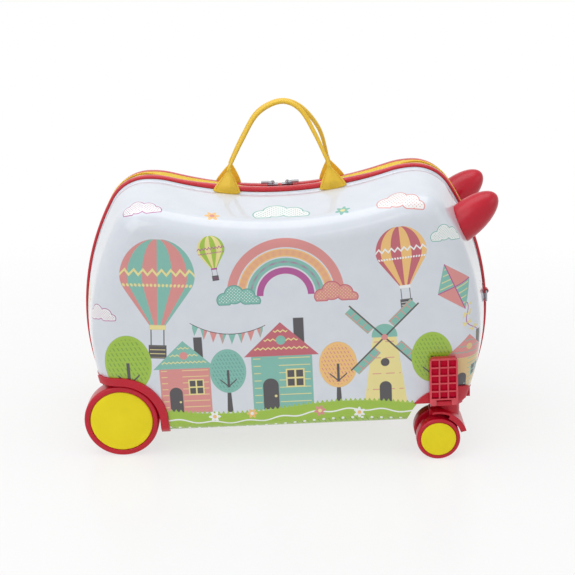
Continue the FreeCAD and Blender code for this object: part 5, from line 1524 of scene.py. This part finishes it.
def pale_floor():
    """White with part of its shading, clear far from the case and where the opened far half dips below it."""
    material, tree, shader = new_finish("pale_floor", Base_Color=(0.96, 0.96, 0.96, 1.0), Roughness=0.22)
    glow = new_node(tree, "Emission", Color=WHITE, Strength=1.0).outputs["Emission"]
    white = mixed_shaders(tree, white_to_camera(tree) * FLOOR_WHITE, shader.outputs["BSDF"], glow)
    spot = tree.nodes.new("ShaderNodeTexCoord").outputs["Object"]
    reach = new_node(tree, "VectorMath", "LENGTH", Vector=spot).outputs["Value"]
    away = ramp(Field(tree, reach), FADE_FROM, FADE_OVER)
    half_spot = tree.nodes.new("ShaderNodeTexCoord")
    half_spot.object = far_shell
    inside = ramp(split(tree, half_spot.outputs["Object"])[2], CLEAR_FROM, CLEAR_OVER)
    clear = tree.nodes.new("ShaderNodeBsdfTransparent").outputs["BSDF"]
    surface = mixed_shaders(tree, away.math("MAXIMUM", inside), white, clear)
    feed(tree, surface, tree.nodes["Material Output"].inputs["Surface"])
    return material


world = bpy.data.worlds.new("white_room")
bpy.context.scene.world = world
world.use_nodes = True
sky = world.node_tree
backdrop = sky.nodes["Background"]
feed(sky, white_to_camera(sky) * (1.0 - SURROUND) + SURROUND, backdrop.inputs["Strength"])
backdrop.inputs["Color"].default_value = WHITE

floor_mesh = bpy.data.meshes.new("floor")
floor_corners = [(x * FLOOR_HALF, y * FLOOR_HALF, 0.0) for x, y in ((-1, -1), (1, -1), (1, 1), (-1, 1))]
floor_mesh.from_pydata(floor_corners, [], [(0, 1, 2, 3)])
finished(floor_mesh, pale_floor())
floor = linked("floor", floor_mesh)
print("floor and surround are white")

# %% [markdown]
# The lamps give form: a wide box overhead draws the bright band along the saddle and the shoulders, a
# larger one from the front left fills the printed face, and a small one at the right lights the horns.

# %% Lamps
def soft_box(name, place_at, aim, width, height, watts):
    """A rectangular area lamp that looks at a point."""
    lamp = bpy.data.lights.new(name, "AREA")
    lamp.shape = "RECTANGLE"
    lamp.size = width
    lamp.size_y = height
    lamp.energy = watts
    box = linked(name, lamp)
    away = unit(np.subtract(place_at, aim))
    right = unit(np.cross((0.0, 1.0, 0.001), away))
    up = np.cross(away, right)
    box.matrix_world = Matrix([[right[i], up[i], away[i], place_at[i]] for i in range(3)] + [[0, 0, 0, 1]])


soft_box("overhead_box", (-0.1, -0.1, 1.3), (0.0, 0.0, 0.2), 1.5, 0.8, 6.4)
soft_box("front_box", (-1.2, -1.7, 1.3), (0.0, 0.0, 0.15), 1.9, 1.9, 13.0)
soft_box("right_box", (1.6, -0.6, 0.9), (0.0, 0.0, 0.15), 0.6, 0.9, 1.2)
print("three soft boxes")

# %% [markdown]
# The camera looks along the zip plane's normal from a little above, at the distance that gives the
# photograph's perspective.

# %% Camera
SENSOR, PICTURE_PX, FOCAL_PX = 36.0, 575.0, 1219.0
AIM_X, AIM_Z, AWAY, ELEVATION = 0.001, 0.167, 1.43, math.radians(18.0)
camera = bpy.data.cameras.new("camera")
camera.sensor_width = SENSOR
camera.lens = SENSOR * FOCAL_PX / PICTURE_PX
eye = linked("camera", camera)
bpy.context.scene.camera = eye
eye.location = (AIM_X, -AWAY * math.cos(ELEVATION), AIM_Z + AWAY * math.sin(ELEVATION))
eye.rotation_euler = (math.pi / 2 - ELEVATION, 0.0, 0.0)
bpy.context.scene.view_settings.view_transform = "Standard"
print("camera lens %.1f mm" % camera.lens)
